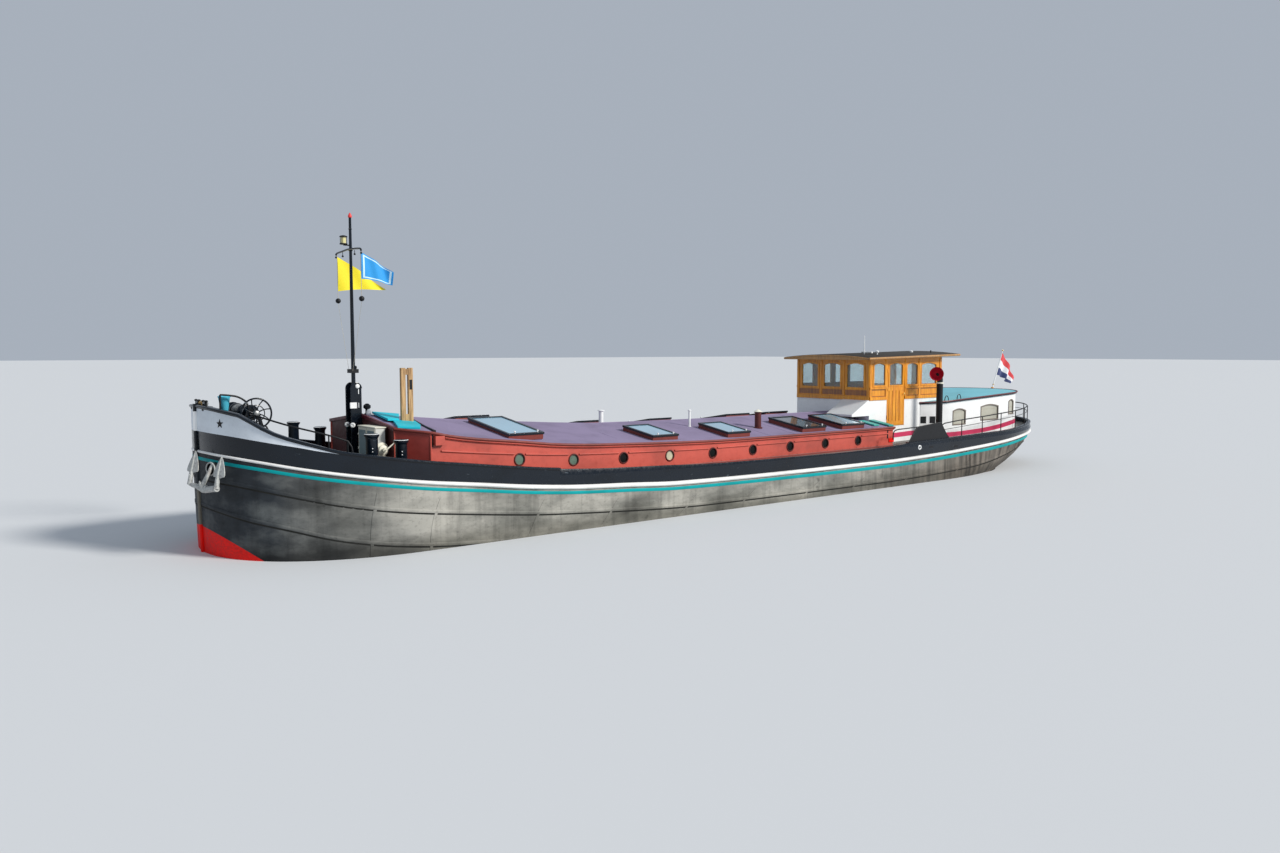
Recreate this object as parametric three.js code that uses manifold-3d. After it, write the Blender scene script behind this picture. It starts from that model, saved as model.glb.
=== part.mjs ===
// River barge with a straight stem and a counter stern, a hold under a pitched deck and a wheelhouse aft.
// Millimetres. +X is forward, +Y is port, +Z is up. The origin is amidships on the flat bottom.
import * as THREE from 'three';
import { mergeVertices } from 'three/addons/utils/BufferGeometryUtils.js';
import Module from 'manifold-3d';

const wasm = await Module();
wasm.setup();

// Driving dimensions
const STEM_X = 13560;
const BEAM = 5200;
const DRAFT = 900;
const GAP = 0.4;
const CLEAR = 6;

// Lines along the ship: [distance aft of the stem, height above the water]
const DECK_LINE = [[0, 2150], [1000, 1860], [2000, 1650], [3200, 1440], [5000, 1240], [8000, 1110],
  [12000, 1050], [18000, 1060], [20500, 1100], [23000, 1150], [25500, 1220], [27400, 1310]];
const CAP_LINE = [[0, 2760], [120, 2720], [200, 2690], [380, 2630], [520, 2520], [650, 2420], [900, 2270],
  [1210, 2155], [1520, 2055], [1840, 1955], [1970, 1930], [2610, 1820], [3470, 1690], [4230, 1594],
  [5420, 1445], [6420, 1340], [7740, 1260], [9180, 1210], [11000, 1140], [16000, 1100], [17600, 1148],
  [18300, 1177], [20260, 1210], [21900, 1245], [23490, 1278], [24560, 1330], [27400, 1460]];
const BAND_LINE = [[0, 1920], [590, 1800], [1290, 1650], [2070, 1510], [3440, 1300], [4520, 1170],
  [5670, 1030], [6910, 920], [8250, 850], [9700, 770], [13000, 730], [17000, 720], [19200, 760],
  [21800, 870], [23200, 955], [25200, 1080], [27400, 1160]];
const RIDGE_LINE = [[3000, 2510], [5000, 2300], [6800, 2160], [9400, 2010], [13600, 1970], [18300, 1980]];
const EAVE_LINE = [[3000, 2230], [3730, 2225], [4100, 2150], [4600, 2070], [5200, 2000], [5750, 1940],
  [6700, 1830], [7800, 1760], [12100, 1640], [18300, 1630]];
const STERN_RAIL_LINE = [[19900, 1630], [21000, 1710], [22100, 1765], [23100, 1820], [24400, 1870],
  [27400, 1980]];

// Horizontal sections of the hull. Under the water a height above the bottom, over it a share of the way
// from the water to the deck; then the half breadth, the ends aft of the stem, and the round ends' lengths.
const HULL_RINGS = [
  { height: 0, half: 2250, bow: 1500, stern: 20900, bowRound: 2600, sternRound: 6000 },
  { height: 100, half: 2470, bow: 1000, stern: 21600, bowRound: 2800, sternRound: 6000 },
  { height: 300, half: 2570, bow: 520, stern: 22400, bowRound: 3000, sternRound: 6000 },
  { height: 560, half: 2600, bow: 220, stern: 23100, bowRound: 3200, sternRound: 5800 },
  { height: 730, half: 2600, bow: 120, stern: 23600, bowRound: 3300, sternRound: 5500 },
  { height: 900, half: 2600, bow: 60, stern: 25500, bowRound: 3400, sternRound: 5300 },
  { share: 0.4, half: 2600, bow: 30, stern: 26600, bowRound: 3500, sternRound: 5000 },
  { share: 0.75, half: 2600, bow: 10, stern: 27150, bowRound: 3700, sternRound: 4750 },
  { share: 1, half: 2600, bow: 0, stern: 27350, bowRound: 3800, sternRound: 4600 },
];
const BOW_POWER = 2.2;
const STERN_POWER = 2;
const BOW_STEPS = 8;
const SIDE_STEPS = 9;
const STERN_STEPS = 8;

// Plating, walls and boards
const BULWARK_THICK = 60;
const TOE_RAIL = { from: 6420, to: 18300, thick: 40 };
// How far the stern's bulwark leans inwards at its top
const STERN_LEAN = 40;
const BAND = { height: 90, out: 60, inset: 60, shoulder: 0.6, flat: 0.5 };
const STEM = { half: 50, out: 50, top: 2800 };
const WALL_THICK = 45;
const ROOF_THICK = 50;
const SCREEN = {
  outline: [[18350, 1182], [18645, 1545], [18775, 1617], [19855, 1693], [19970, 1545], [20140, 1340],
    [20310, 1205]],
  inner: 2515, outer: 2558,
};

// Hold: coaming sides, front wall and the wells in the hull
const COAMING = { half: 2100, frontHalf: 1600, front: 3220, shoulder: 3740, aft: 18200 };
const HOLD_WELL = { from: 3500, to: 17700, half: 1900, floor: 250 };
const ENGINE_WELL = { from: 18200, to: 21100, half: 1250, floor: 250 };
const CABIN_WELL = { from: 21700, to: 24600, half: 1350, floor: 1250 };
const PORTHOLE = { radius: 120, first: 5750, step: 1363, count: 9 };

// Hull sections: [name, from, to] aft of the stem
const HULL_SECTIONS = [['forebody', -100, HOLD_WELL.from], ['midbody', HOLD_WELL.from, HOLD_WELL.to],
  ['aftbody', HOLD_WELL.to, 27500]];

// Skylights: [centre aft of the stem, width along the ship, upper edge off the centreline, lower edge]
const SKYLIGHTS = [[5990, 880, 260, 1990], [9750, 790, 900, 2060], [12130, 790, 950, 2060],
  [14900, 940, 800, 2060], [16500, 960, 800, 2060]];
const CURB = { rise: 95, wall: 40 };
const LID_THICK = 45;

// Wheelhouse: steel base below, wood above
const HOUSE = { front: 18010, aft: 21500, half: 1390, sill: 2360, topFront: 3520, topAft: 3600 };
const HOOD = { front: 17240, low: 1960, side: 1, from: 450, to: 1390 };
const HOUSE_DOOR = { from: 18810, to: 19660, low: 1560, high: 3450 };
const HOUSE_ROOF = { front: 17680, aft: 22100, half: 1630, thick: 70, camber: 90 };
const HOUSE_WINDOW = { low: 2760, high: 3420, arch: 60 };
const FRONT_WINDOWS = [-870, 0, 870];
const FRONT_WINDOW_WIDTH = 640;
// Side windows: [from, to] aft of the stem
const SIDE_WINDOWS = [[18200, 18720], [19760, 20290], [20480, 21230]];
const HOUSE_FLOOR = 1500;

// Aft cabin: plan outline to port as [aft of the stem, breadth], then a round end
const CABIN = {
  front: 20450, shoulder: 21250, half: 1800, roundFrom: 24600, end: 26000, top: 2150, rise: 250,
};
const CABIN_ROOF = { overhang: 45, thick: 70 };
// Cabin windows: [from, to] aft of the stem, then [low, high] over the water
const CABIN_WINDOWS = [[21570, 22220, 1505, 1970], [23090, 24050, 1585, 2050], [24690, 25000, 1720, 2170]];

// Tall pipe beside the wheelhouse with a cowl on its top
const STACK = { at: 20550, side: 2000, radius: 95, top: 2840 };
const COWL = { height: 3090, neck: 80, mouth: 205, reach: 170, turn: 35, ahead: 170 };

// Stern gear
const PROPELLER = { at: 24450, height: 430, radius: 360, hub: 75, blades: 4 };
const RUDDER = { stock: 25750, lead: 400, trail: 850, low: 75, top: 800, thick: 60, stockRadius: 45 };
const HEEL = 55;
// Flagstaff: foot and head as [aft of the stem, height]
const STAFF = { foot: [26600, 2450], head: [27200, 3780], radius: 18, tip: 12, shoe: 40 };

// Mast and foredeck
const TABERNACLE = { at: 3080, cheek: 40, width: 250, depth: 230, top: 3130 };
const MAST = { pivot: 2950, top: 6500, radius: 48, tip: 26, heel: 2000 };
const YARD = { height: 5820, half: 640, fall: 20, radius: 18 };
const LANTERN = { out: 130, side: -40, low: 5935, high: 6110, radius: 75 };
const MAST_WINCH = { from: 2940, to: 3140, low: 550, high: 1350, top: 2275 };
const ANCHOR_WINCH = { at: 870, height: 2620, frames: 540, wheelAt: 740, wheelRadius: 280, axleAft: -700 };
const ANCHOR = { at: 0, side: 825, height: 1380, turn: 22, lean: 140, arm: 40 };
// Flukes of the anchor: [across from its shank, height of the leaf's foot]
const FLUKES = [[-385, 190], [345, 125]];
// Bollards: [aft of the stem, height over the cap]
const BOLLARDS = [[2550, 410], [3140, 360]];
const BOLLARD = { half: 2060, radius: 125, plate: [2370, 3320], plateHalf: 150, plateThick: 30 };
// Upright post of two planks on a board, beside the mast
const TIMBER_POST = {
  at: 3800, side: 950, top: 3440, plank: 100, thick: 70, apart: 80, blocks: [2500, 3330],
};
// Bow rail: [aft of the stem, breadth, height over the cap]
const BOW_RAIL = [[700, 1290, 220], [1100, 1830, 250], [1700, 2130, 264], [2020, 2220, 220]];

const aft = (distance) => STEM_X - distance;
const above = (height) => DRAFT + height;
// Height under the whole deck, from which walls and posts start before the hull is taken off them
const UNDER_DECK = above(900);
const UNDER_FOREDECK = above(1200);
const UNDER_COAMING = above(800);

const LOOKS = {
  hull: [0x4a4c4a, 0.7, 0.3], black: [0x15191a, 0.35, 0.3], white: [0xe6e8e6, 0.4, 0.1],
  red: [0x8f3227, 0.55, 0.1], roof: [0x77697c, 0.8, 0], cyan: [0x2aa5b4, 0.5, 0], wood: [0xc87818, 0.35, 0],
  glassLid: [0x9fc4cf, 0.2, 0], grey: [0x8d8f8a, 0.7, 0.4],
  bronze: [0x8f6a34, 0.4, 0.8], timber: [0xb99a6a, 0.8, 0], engine: [0x3f5a45, 0.5, 0.3],
};

// Height of a line of the ship at x, as z in the model
function lineAt(line, x) {
  const distance = STEM_X - x;
  const next = line.findIndex(([along]) => along >= distance);
  if (next === 0) return above(line[0][1]);
  if (next < 0) return above(line[line.length - 1][1]);
  const [fromAlong, fromHeight] = line[next - 1];
  const [toAlong, toHeight] = line[next];
  return above(fromHeight + (toHeight - fromHeight) * (distance - fromAlong) / (toAlong - fromAlong));
}

// Solids from points and triangles, and from three.js geometry
function solidOf(points, triangles) {
  return new wasm.Manifold(new wasm.Mesh({
    numProp: 3, vertProperties: new Float32Array(points.flat()), triVerts: new Uint32Array(triangles.flat()),
  }));
}

function solid(geometry) {
  const bare = geometry.clone();
  for (const name of Object.keys(bare.attributes)) if (name !== 'position') bare.deleteAttribute(name);
  const merged = mergeVertices(bare, 1e-3);
  return new wasm.Manifold(new wasm.Mesh({
    numProp: 3, vertProperties: new Float32Array(merged.attributes.position.array),
    triVerts: new Uint32Array(merged.index.array),
  }));
}

function box([x0, x1], [y0, y1], [z0, z1]) {
  const shape = new THREE.BoxGeometry(Math.abs(x1 - x0), Math.abs(y1 - y0), Math.abs(z1 - z0));
  return solid(shape.translate((x0 + x1) / 2, (y0 + y1) / 2, (z0 + z1) / 2));
}

// Extrusion of an outline: 'xy' runs up in z, 'xz' runs across in y, 'yz' runs forward in x
function prism(plane, outline, low, high) {
  const shape = new THREE.Shape(outline.map(([u, v]) => new THREE.Vector2(u, v)));
  const geometry = new THREE.ExtrudeGeometry(shape, { depth: high - low, bevelEnabled: false });
  if (plane === 'xy') geometry.translate(0, 0, low);
  if (plane === 'xz') geometry.rotateX(Math.PI / 2).translate(0, high, 0);
  if (plane === 'yz') {
    const turn = new THREE.Matrix4().makeBasis(
      new THREE.Vector3(0, 1, 0), new THREE.Vector3(0, 0, 1), new THREE.Vector3(1, 0, 0));
    geometry.applyMatrix4(turn).translate(low, 0, 0);
  }
  return solid(geometry);
}

// Round bar between two points, tapered when the end radius differs
function bar(from, to, radius, sides = 8, endRadius = radius) {
  const start = new THREE.Vector3(...from);
  const run = new THREE.Vector3(...to).sub(start);
  const geometry = new THREE.CylinderGeometry(endRadius, radius, run.length(), sides);
  geometry.translate(0, run.length() / 2, 0);
  geometry.applyQuaternion(new THREE.Quaternion().setFromUnitVectors(new THREE.Vector3(0, 1, 0),
    run.clone().normalize()));
  return solid(geometry.translate(start.x, start.y, start.z));
}

function pipe(points, radius, sides = 6) {
  return join(points.slice(1).flatMap((point, i) => {
    const run = bar(points[i], point, radius, sides);
    if (i === 0) return [run];
    return [run, solid(new THREE.SphereGeometry(radius, sides, 4).translate(...points[i]))];
  }));
}

// Round rail along a line that stays near level
function rail(points, radius, sides = 6) {
  return sweep(points, Array.from({ length: sides }, (_, i) => {
    const turn = 2 * Math.PI * i / sides;
    const [out, up] = [radius * Math.cos(turn), radius * Math.sin(turn)];
    return ([x, y, z], [ox, oy]) => [x - ox * out, y - oy * out, z + up];
  }));
}

function join(solids) {
  return solids.reduce((whole, next) => whole.add(next));
}

function ringShape(radius, tube, turns = 16, sides = 5) {
  return solid(new THREE.TorusGeometry(radius, tube, sides, turns));
}

const group = new THREE.Group();

// Adds a named piece; its solid is made about its own place
function add(name, look, shape, place = [0, 0, 0], turn = [0, 0, 0]) {
  const { vertProperties, triVerts } = shape.getMesh();
  const geometry = new THREE.BufferGeometry();
  geometry.setAttribute('position', new THREE.BufferAttribute(vertProperties, 3));
  geometry.setIndex(new THREE.BufferAttribute(triVerts, 1));
  geometry.computeVertexNormals();
  const [color, roughness, metalness] = LOOKS[look];
  const mesh = new THREE.Mesh(geometry, new THREE.MeshStandardMaterial({ color, roughness, metalness }));
  mesh.name = name;
  mesh.position.set(...place);
  mesh.rotation.set(...turn);
  group.add(mesh);
}

// Port half of a horizontal section, from the bow's centre to the stern's centre
function ringSide(ring, grow = 0) {
  const half = ring.half + grow;
  const bowAt = aft(ring.bow) + grow;
  const sternAt = aft(ring.stern) - grow;
  const points = [];
  for (let i = 0; i < BOW_STEPS; i++) {
    const turn = Math.PI / 2 * (1 - i / BOW_STEPS);
    points.push([bowAt - ring.bowRound * (1 - Math.sin(turn) ** (2 / BOW_POWER)),
      half * Math.max(0, Math.cos(turn)) ** (2 / BOW_POWER)]);
  }
  const sideFrom = bowAt - ring.bowRound;
  const sideTo = sternAt + ring.sternRound;
  for (let i = 0; i < SIDE_STEPS; i++) points.push([sideFrom + (sideTo - sideFrom) * i / SIDE_STEPS, half]);
  for (let i = 0; i <= STERN_STEPS; i++) {
    const turn = Math.PI / 2 * i / STERN_STEPS;
    points.push([sideTo - ring.sternRound * Math.sin(turn) ** (2 / STERN_POWER),
      half * Math.max(0, Math.cos(turn)) ** (2 / STERN_POWER)]);
  }
  points[0][1] = 0;
  points[points.length - 1][1] = 0;
  return points;
}

function ringHeight(ring, x) {
  return ring.share === undefined ? ring.height : DRAFT + ring.share * (lineAt(DECK_LINE, x) - DRAFT);
}

// Hull as a stack of horizontal sections, capped by the bottom and the deck
function hullSolid(grow = 0) {
  const sides = HULL_RINGS.map((ring) => ringSide(ring, grow));
  const count = sides[0].length;
  const around = 2 * count - 2;
  const points = [];
  sides.forEach((side, k) => {
    const whole = [...side, ...side.slice(1, -1).reverse().map(([x, y]) => [x, -y])];
    for (const [x, y] of whole) points.push([x, y, ringHeight(HULL_RINGS[k], x) - (k === 0 ? grow : 0)]);
  });
  const triangles = [];
  for (let k = 0; k + 1 < sides.length; k++) {
    for (let i = 0; i < around; i++) {
      const a = k * around + i;
      const b = k * around + (i + 1) % around;
      triangles.push([a, b, b + around], [a, b + around, a + around]);
    }
  }
  for (const [k, up] of [[0, false], [sides.length - 1, true]]) {
    const port = (i) => k * around + i;
    const starboard = (i) => k * around + (around - i) % around;
    for (let i = 0; i + 1 < count; i++) {
      const faces = [[port(i), port(i + 1), starboard(i + 1)], [port(i), starboard(i + 1), starboard(i)]];
      for (const face of faces) {
        if (new Set(face).size === 3) triangles.push(up ? face : [face[0], face[2], face[1]]);
      }
    }
  }
  return solidOf(points, triangles);
}

// Point of the hull's side at a fixed place around it and a height
function ribPoint(index, heightAt) {
  const rib = HULL_RINGS.map((ring) => {
    const [x, y] = ringSide(ring)[index];
    return [x, y, ringHeight(ring, x)];
  });
  for (let k = 1; k < rib.length; k++) {
    const low = rib[k - 1];
    const high = rib[k];
    const lowOver = low[2] - heightAt(low[0]);
    const highOver = high[2] - heightAt(high[0]);
    if (lowOver <= 0 && highOver >= 0) {
      const part = lowOver / (lowOver - highOver);
      return [0, 1, 2].map((axis) => low[axis] + (high[axis] - low[axis]) * part);
    }
  }
  return rib[rib.length - 1];
}

// Outward direction of each point of a line seen from above that runs aft along the port side
function outward(points, closed = false) {
  const count = points.length;
  return points.map((_, i) => {
    const before = points[closed ? (i + count - 1) % count : Math.max(0, i - 1)];
    const after = points[closed ? (i + 1) % count : Math.min(count - 1, i + 1)];
    const run = new THREE.Vector2(after[0] - before[0], after[1] - before[1]).normalize();
    return [run.y, -run.x];
  });
}

// Strip of constant section order along a line: each corner is (point, outward direction) to [x, y, z]
function sweep(points, corners, closed = false) {
  const directions = outward(points, closed);
  const vertices = points.flatMap((point, i) => corners.map((corner) => corner(point, directions[i])));
  const sides = corners.length;
  const triangles = [];
  for (let i = 0; i + (closed ? 0 : 1) < points.length; i++) {
    const [here, next] = [i * sides, (i + 1) % points.length * sides];
    for (let j = 0; j < sides; j++) {
      const over = (j + 1) % sides;
      triangles.push([here + j, here + over, next + over], [here + j, next + over, next + j]);
    }
  }
  if (closed) return solidOf(vertices, triangles);
  const last = (points.length - 1) * sides;
  for (let j = 1; j + 1 < sides; j++) triangles.push([0, j + 1, j], [last, last + j, last + j + 1]);
  return solidOf(vertices, triangles);
}

// Deck edge to port between two distances aft of the stem, with a point at each kink of the bulwarks' top
const DECK_RING = HULL_RINGS[HULL_RINGS.length - 1];
const EDGE_KINKS = { from: 300, to: 26500, apart: 40 };
function deckEdge(from, to) {
  const side = ringSide(DECK_RING);
  const cut = (distance) => {
    const x = aft(distance);
    const next = side.findIndex((point) => point[0] <= x);
    const [before, after] = [side[next - 1], side[next]];
    const part = (before[0] - x) / (before[0] - after[0]);
    return [x, before[1] + (after[1] - before[1]) * part];
  };
  const kinks = CAP_LINE.map(([distance]) => distance)
    .filter((distance) => distance > EDGE_KINKS.from && distance < EDGE_KINKS.to);
  const inside = [...side, ...kinks.map(cut)].sort((a, b) => b[0] - a[0]).filter(([x], i, all) =>
    x < aft(from) - 1 && x > aft(to) + 1 && (i === 0 || all[i - 1][0] - x > EDGE_KINKS.apart));
  const first = from > 0 ? cut(from) : side[0];
  const last = to < DECK_RING.stern ? cut(to) : side[side.length - 1];
  return [first, ...inside, last];
}

// Height of the deck's surface, which runs straight from one section point to the next
const deckStations = ringSide(DECK_RING).map(([x]) => [x, lineAt(DECK_LINE, x)]);
function deckAt(x) {
  const next = Math.max(1, deckStations.findIndex(([station]) => station <= x + 1e-6));
  const [fromX, fromZ] = deckStations[next - 1];
  const [toX, toZ] = deckStations[next];
  return fromZ + (toZ - fromZ) * (fromX - x) / (fromX - toX);
}

// Steel wall along the deck's edge, from the deck up to a line
function bulwark(points, topAt, thick = BULWARK_THICK, topInset = 0) {
  return sweep(points, [
    ([x, y]) => [x, y, deckAt(x) + GAP],
    ([x, y], [ox, oy]) => [x - ox * thick, y - oy * thick, deckAt(x) + GAP],
    ([x, y], [ox, oy]) => [x - ox * (thick + topInset), y - oy * (thick + topInset), topAt(x)],
    ([x, y], [ox, oy]) => [x - ox * topInset, y - oy * topInset, topAt(x)],
  ]);
}

const capAt = (x) => lineAt(CAP_LINE, x);
const mirrored = (points) => points.map(([x, y]) => [x, -y]).reverse();
const deckHull = hullSolid();
const onDeck = (shape) => shape.subtract(deckHull.translate([0, 0, GAP]));

// Hull, stem, skeg and rubbing band
function makeHull() {
  const well = ({ from, to, half, floor }) => box([aft(to), aft(from)], [-half, half], [floor, above(3000)]);
  const trunk = bar([aft(RUDDER.stock), 0, 500], [aft(RUDDER.stock), 0, 1300], RUDDER.stockRadius + 15, 12);
  const body = [well(HOLD_WELL), well(ENGINE_WELL), well(CABIN_WELL), trunk]
    .reduce((whole, cut) => whole.subtract(cut), hullSolid());
  for (const [name, from, to] of HULL_SECTIONS) {
    const section = box([aft(to), aft(from) - GAP], [-BEAM, BEAM], [-BEAM, above(BEAM)]);
    add(`hull_${name}`, 'hull', body.intersect(section));
  }
}

function makeStem() {
  const rib = HULL_RINGS.map((ring) => [aft(ring.bow), ringHeight(ring, aft(ring.bow))]);
  const inner = [...rib.slice(1), [aft(0), above(STEM.top)]].map(([x, z]) => [x + GAP, z]);
  const outer = inner.map(([x, z]) => [x + STEM.out, z]).reverse();
  add('stem', 'black', prism('xz', [...inner, ...outer], -STEM.half, STEM.half));
}

function makeSkeg() {
  const rib = HULL_RINGS.slice(0, 5).map((ring) => [aft(ring.stern), ring.height - GAP]);
  const apertureFront = 24000;
  const nextHigh = [aft(HULL_RINGS[5].stern), HULL_RINGS[5].height - GAP];
  const part = (rib[4][0] - aft(apertureFront)) / (rib[4][0] - nextHigh[0]);
  const apertureTop = rib[4][1] + (nextHigh[1] - rib[4][1]) * part;
  const outline = [[aft(20950), 0], ...rib.slice(1), [aft(apertureFront), apertureTop],
    [aft(apertureFront), HEEL], [aft(RUDDER.stock + 300), HEEL], [aft(RUDDER.stock + 300), 0]];
  const plate = prism('xz', outline.reverse(), -60, 60);
  const boss = bar([aft(23500), 0, PROPELLER.height], [aft(apertureFront + 120), 0, PROPELLER.height],
    95, 12);
  add('skeg', 'hull', plate.add(boss.subtract(hullSolid(GAP))));
}

function makeBand() {
  const { height, out, inset, shoulder, flat } = BAND;
  const at = (x) => lineAt(BAND_LINE, x);
  const points = ringSide(DECK_RING).map((_, i) => ribPoint(i, at)).map(([x, y]) => [x, y]);
  // Corners of its section: (distance outwards, share of half its height)
  const section = [[out * shoulder, -1], [-inset, -1], [-inset, 1], [out * shoulder, 1], [out, flat],
    [out, -flat]];
  const strip = sweep([...mirrored(points.slice(1, -1)), ...points], section.map(([reach, share]) =>
    ([x, y], [ox, oy]) => [x + ox * reach, y + oy * reach, at(x) + share * height / 2]), true);
  const stemRoom = box([aft(0) - inset, aft(0) + 2 * out], [-STEM.half - 1, STEM.half + 1],
    [above(BAND_LINE[0][1]) - height, above(BAND_LINE[0][1]) + height]);
  add('rubbing_band', 'white', strip.subtract(hullSolid(GAP)).subtract(stemRoom));
}

function makeBulwarks() {
  const fore = deckEdge(0, TOE_RAIL.from);
  add('bulwark_fore', 'black', bulwark([...mirrored(fore.slice(1)), ...fore], capAt));
  const middle = deckEdge(TOE_RAIL.from + 1, TOE_RAIL.to - 1);
  add('toe_rail_port', 'black', bulwark(middle, capAt, TOE_RAIL.thick));
  add('toe_rail_starboard', 'black', bulwark(mirrored(middle), capAt, TOE_RAIL.thick));
  const stern = deckEdge(TOE_RAIL.to, DECK_RING.stern);
  const aftWall = bulwark([...stern, ...mirrored(stern.slice(0, -1))], capAt, BULWARK_THICK, STERN_LEAN);
  add('bulwark_aft', 'black', aftWall);
  for (const [name, side] of [['port', 1], ['starboard', -1]]) {
    const outline = SCREEN.outline.map(([distance, height]) => [aft(distance), above(height)]).reverse();
    const [low, high] = side > 0 ? [SCREEN.inner, SCREEN.outer] : [-SCREEN.outer, -SCREEN.inner];
    const screen = prism('xz', outline, low, high);
    add(`side_screen_${name}`, 'black', screen.subtract(aftWall.translate([0, 0, GAP])));
  }
}

// Hold: coamings with portholes, front wall, pitched deck with skylights
function coamingPlan() {
  return [[COAMING.front, COAMING.frontHalf], [COAMING.shoulder, COAMING.half], [COAMING.aft, COAMING.half]]
    .map(([distance, half]) => [aft(distance), half]);
}

// Distances aft of the stem at which the deck over the hold changes its slope
const ROOF_STATIONS = [3210, 3730, 4100, 5200, 6700, 8000, 9400, 12100, 15000, COAMING.aft + 20];
const ROOF_REACH = { side: 45, corner: 15 };

// Slope of the deck over the hold on one side, as a slab between two heights off its surface
const ROOF_EDGE = COAMING.half + ROOF_REACH.side;
function roofSlab(side, low, high, edge = ROOF_EDGE, inner = 0.2) {
  const stations = ROOF_STATIONS;
  const vertices = stations.flatMap((distance) => {
    const x = aft(distance);
    const [ridge, eave] = [lineAt(RIDGE_LINE, x), lineAt(EAVE_LINE, x)];
    const atWidth = (width) => ridge + (eave - ridge) * width / COAMING.half;
    const corners = [[inner, low], [edge, low], [edge, high], [inner, high]];
    return corners.map(([width, lift]) => [x, side * width, atWidth(width) + lift]);
  });
  const triangles = [];
  for (let i = 0; i + 1 < stations.length; i++) {
    for (let j = 0; j < 4; j++) {
      const a = i * 4 + j;
      const b = i * 4 + (j + 1) % 4;
      triangles.push([a, b, b + 4], [a, b + 4, a + 4]);
    }
  }
  const last = (stations.length - 1) * 4;
  for (let j = 1; j < 3; j++) triangles.push([0, j + 1, j], [last, last + j, last + j + 1]);
  return solidOf(vertices, side > 0 ? triangles.map(([a, b, c]) => [a, c, b]) : triangles);
}

// Room in front of the hold deck's corner, a little outside the coaming's diagonal
function cornerRoom(side) {
  const [run, spread] = [COAMING.shoulder - COAMING.front, COAMING.half - COAMING.frontHalf];
  const length = Math.hypot(run, spread);
  const along = (share) => [COAMING.front + run * share - ROOF_REACH.corner * spread / length,
    COAMING.frontHalf + spread * share + ROOF_REACH.corner * run / length];
  const outline = [along(-0.2), along(1.2), [COAMING.front - run, COAMING.half + spread]]
    .map(([distance, half]) => [aft(distance), side * half]);
  return prism('xy', side > 0 ? outline.reverse() : outline, UNDER_DECK, above(BEAM));
}

// Place of a skylight: its hinge edge's centre and its slope across the ship
function skylightSeat([distance, , upper, lower], side) {
  const x = aft(distance);
  const fall = (lineAt(RIDGE_LINE, x) - lineAt(EAVE_LINE, x)) / COAMING.half;
  const slope = Math.atan(fall);
  const z = lineAt(RIDGE_LINE, x) - fall * upper;
  return { place: [x, side * upper, z], slope, run: (lower - upper) / Math.cos(slope) };
}

function skylightFrame(size, side, inset, low, high) {
  const { place, slope, run } = skylightSeat(size, side);
  const half = size[1] / 2 - inset;
  const across = side > 0 ? [inset, run - inset] : [inset - run, -inset];
  const turn = side > 0 ? -slope : slope;
  return box([-half, half], across, [low, high]).rotate([turn * 180 / Math.PI, 0, 0]).translate(place);
}

function makeHold() {
  const plan = coamingPlan();
  const inside = plan.map(([x, y]) => [x, y - WALL_THICK]);
  const house = box([aft(HOUSE.aft), aft(HOUSE.front) + GAP], [-HOUSE.half - GAP, HOUSE.half + GAP],
    [UNDER_DECK, above(3500)]);
  const under = (side) => roofSlab(side, -ROOF_THICK - GAP, 1500, ROOF_EDGE, -0.5);
  for (const [name, side] of [['port', 1], ['starboard', -1]]) {
    const aftEnd = [[aft(COAMING.aft), HOUSE.half + 12], [aft(COAMING.aft) + WALL_THICK, HOUSE.half + 12]];
    const outline = [...plan, ...aftEnd, [inside[2][0] + WALL_THICK, inside[2][1]], inside[1], inside[0]];
    const placed = outline.map(([x, y]) => [x, side * y]);
    let wall = prism('xy', side > 0 ? placed.reverse() : placed, UNDER_COAMING, above(2600));
    for (let i = 0; i < PORTHOLE.count; i++) {
      const x = aft(PORTHOLE.first + PORTHOLE.step * i);
      const z = (lineAt(EAVE_LINE, x) + lineAt(DECK_LINE, x)) / 2 - 30;
      wall = wall.subtract(bar([x, side * 1800, z], [x, side * 2400, z], PORTHOLE.radius, 12));
    }
    add(`coaming_${name}`, 'red', onDeck(wall).subtract(under(1)).subtract(under(-1)).subtract(house));
    let roof = roofSlab(side, -ROOF_THICK, 0).subtract(cornerRoom(side));
    for (const size of SKYLIGHTS) roof = roof.add(skylightFrame(size, side, 30, -ROOF_THICK, CURB.rise));
    for (const size of SKYLIGHTS) roof = roof.subtract(skylightFrame(size, side, 30 + CURB.wall, -200, 300));
    add(`hold_deck_${name}`, 'roof', roof.subtract(house));
  }
  const frontReach = COAMING.frontHalf - WALL_THICK - 10;
  const front = box([aft(COAMING.front) - WALL_THICK, aft(COAMING.front) - GAP], [-frontReach, frontReach],
    [UNDER_COAMING, above(2700)]);
  add('coaming_front', 'red', onDeck(front).subtract(under(1)).subtract(under(-1)));
}

function makeSkylightLids() {
  SKYLIGHTS.forEach((size, i) => {
    for (const [name, side] of [['port', 1], ['starboard', -1]]) {
      const { place, slope, run } = skylightSeat(size, side);
      const half = size[1] / 2;
      const low = CURB.rise + CLEAR;
      const across = side > 0 ? [0, run] : [-run, 0];
      const lid = box([-half, half], across, [low, low + LID_THICK]);
      add(`skylight_${i + 1}_${name}`, 'glassLid', lid, place, [side > 0 ? -slope : slope, 0, 0]);
    }
  });
}

// Arched window outline, as [along, height] points
function archedOutline(from, to, low, high, arch) {
  const points = [[from, low], [to, low]];
  for (let i = 0; i <= 6; i++) {
    const share = 1 - i / 6;
    points.push([from + (to - from) * share, high - arch + arch * Math.sin(Math.PI * share)]);
  }
  return points;
}

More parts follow.
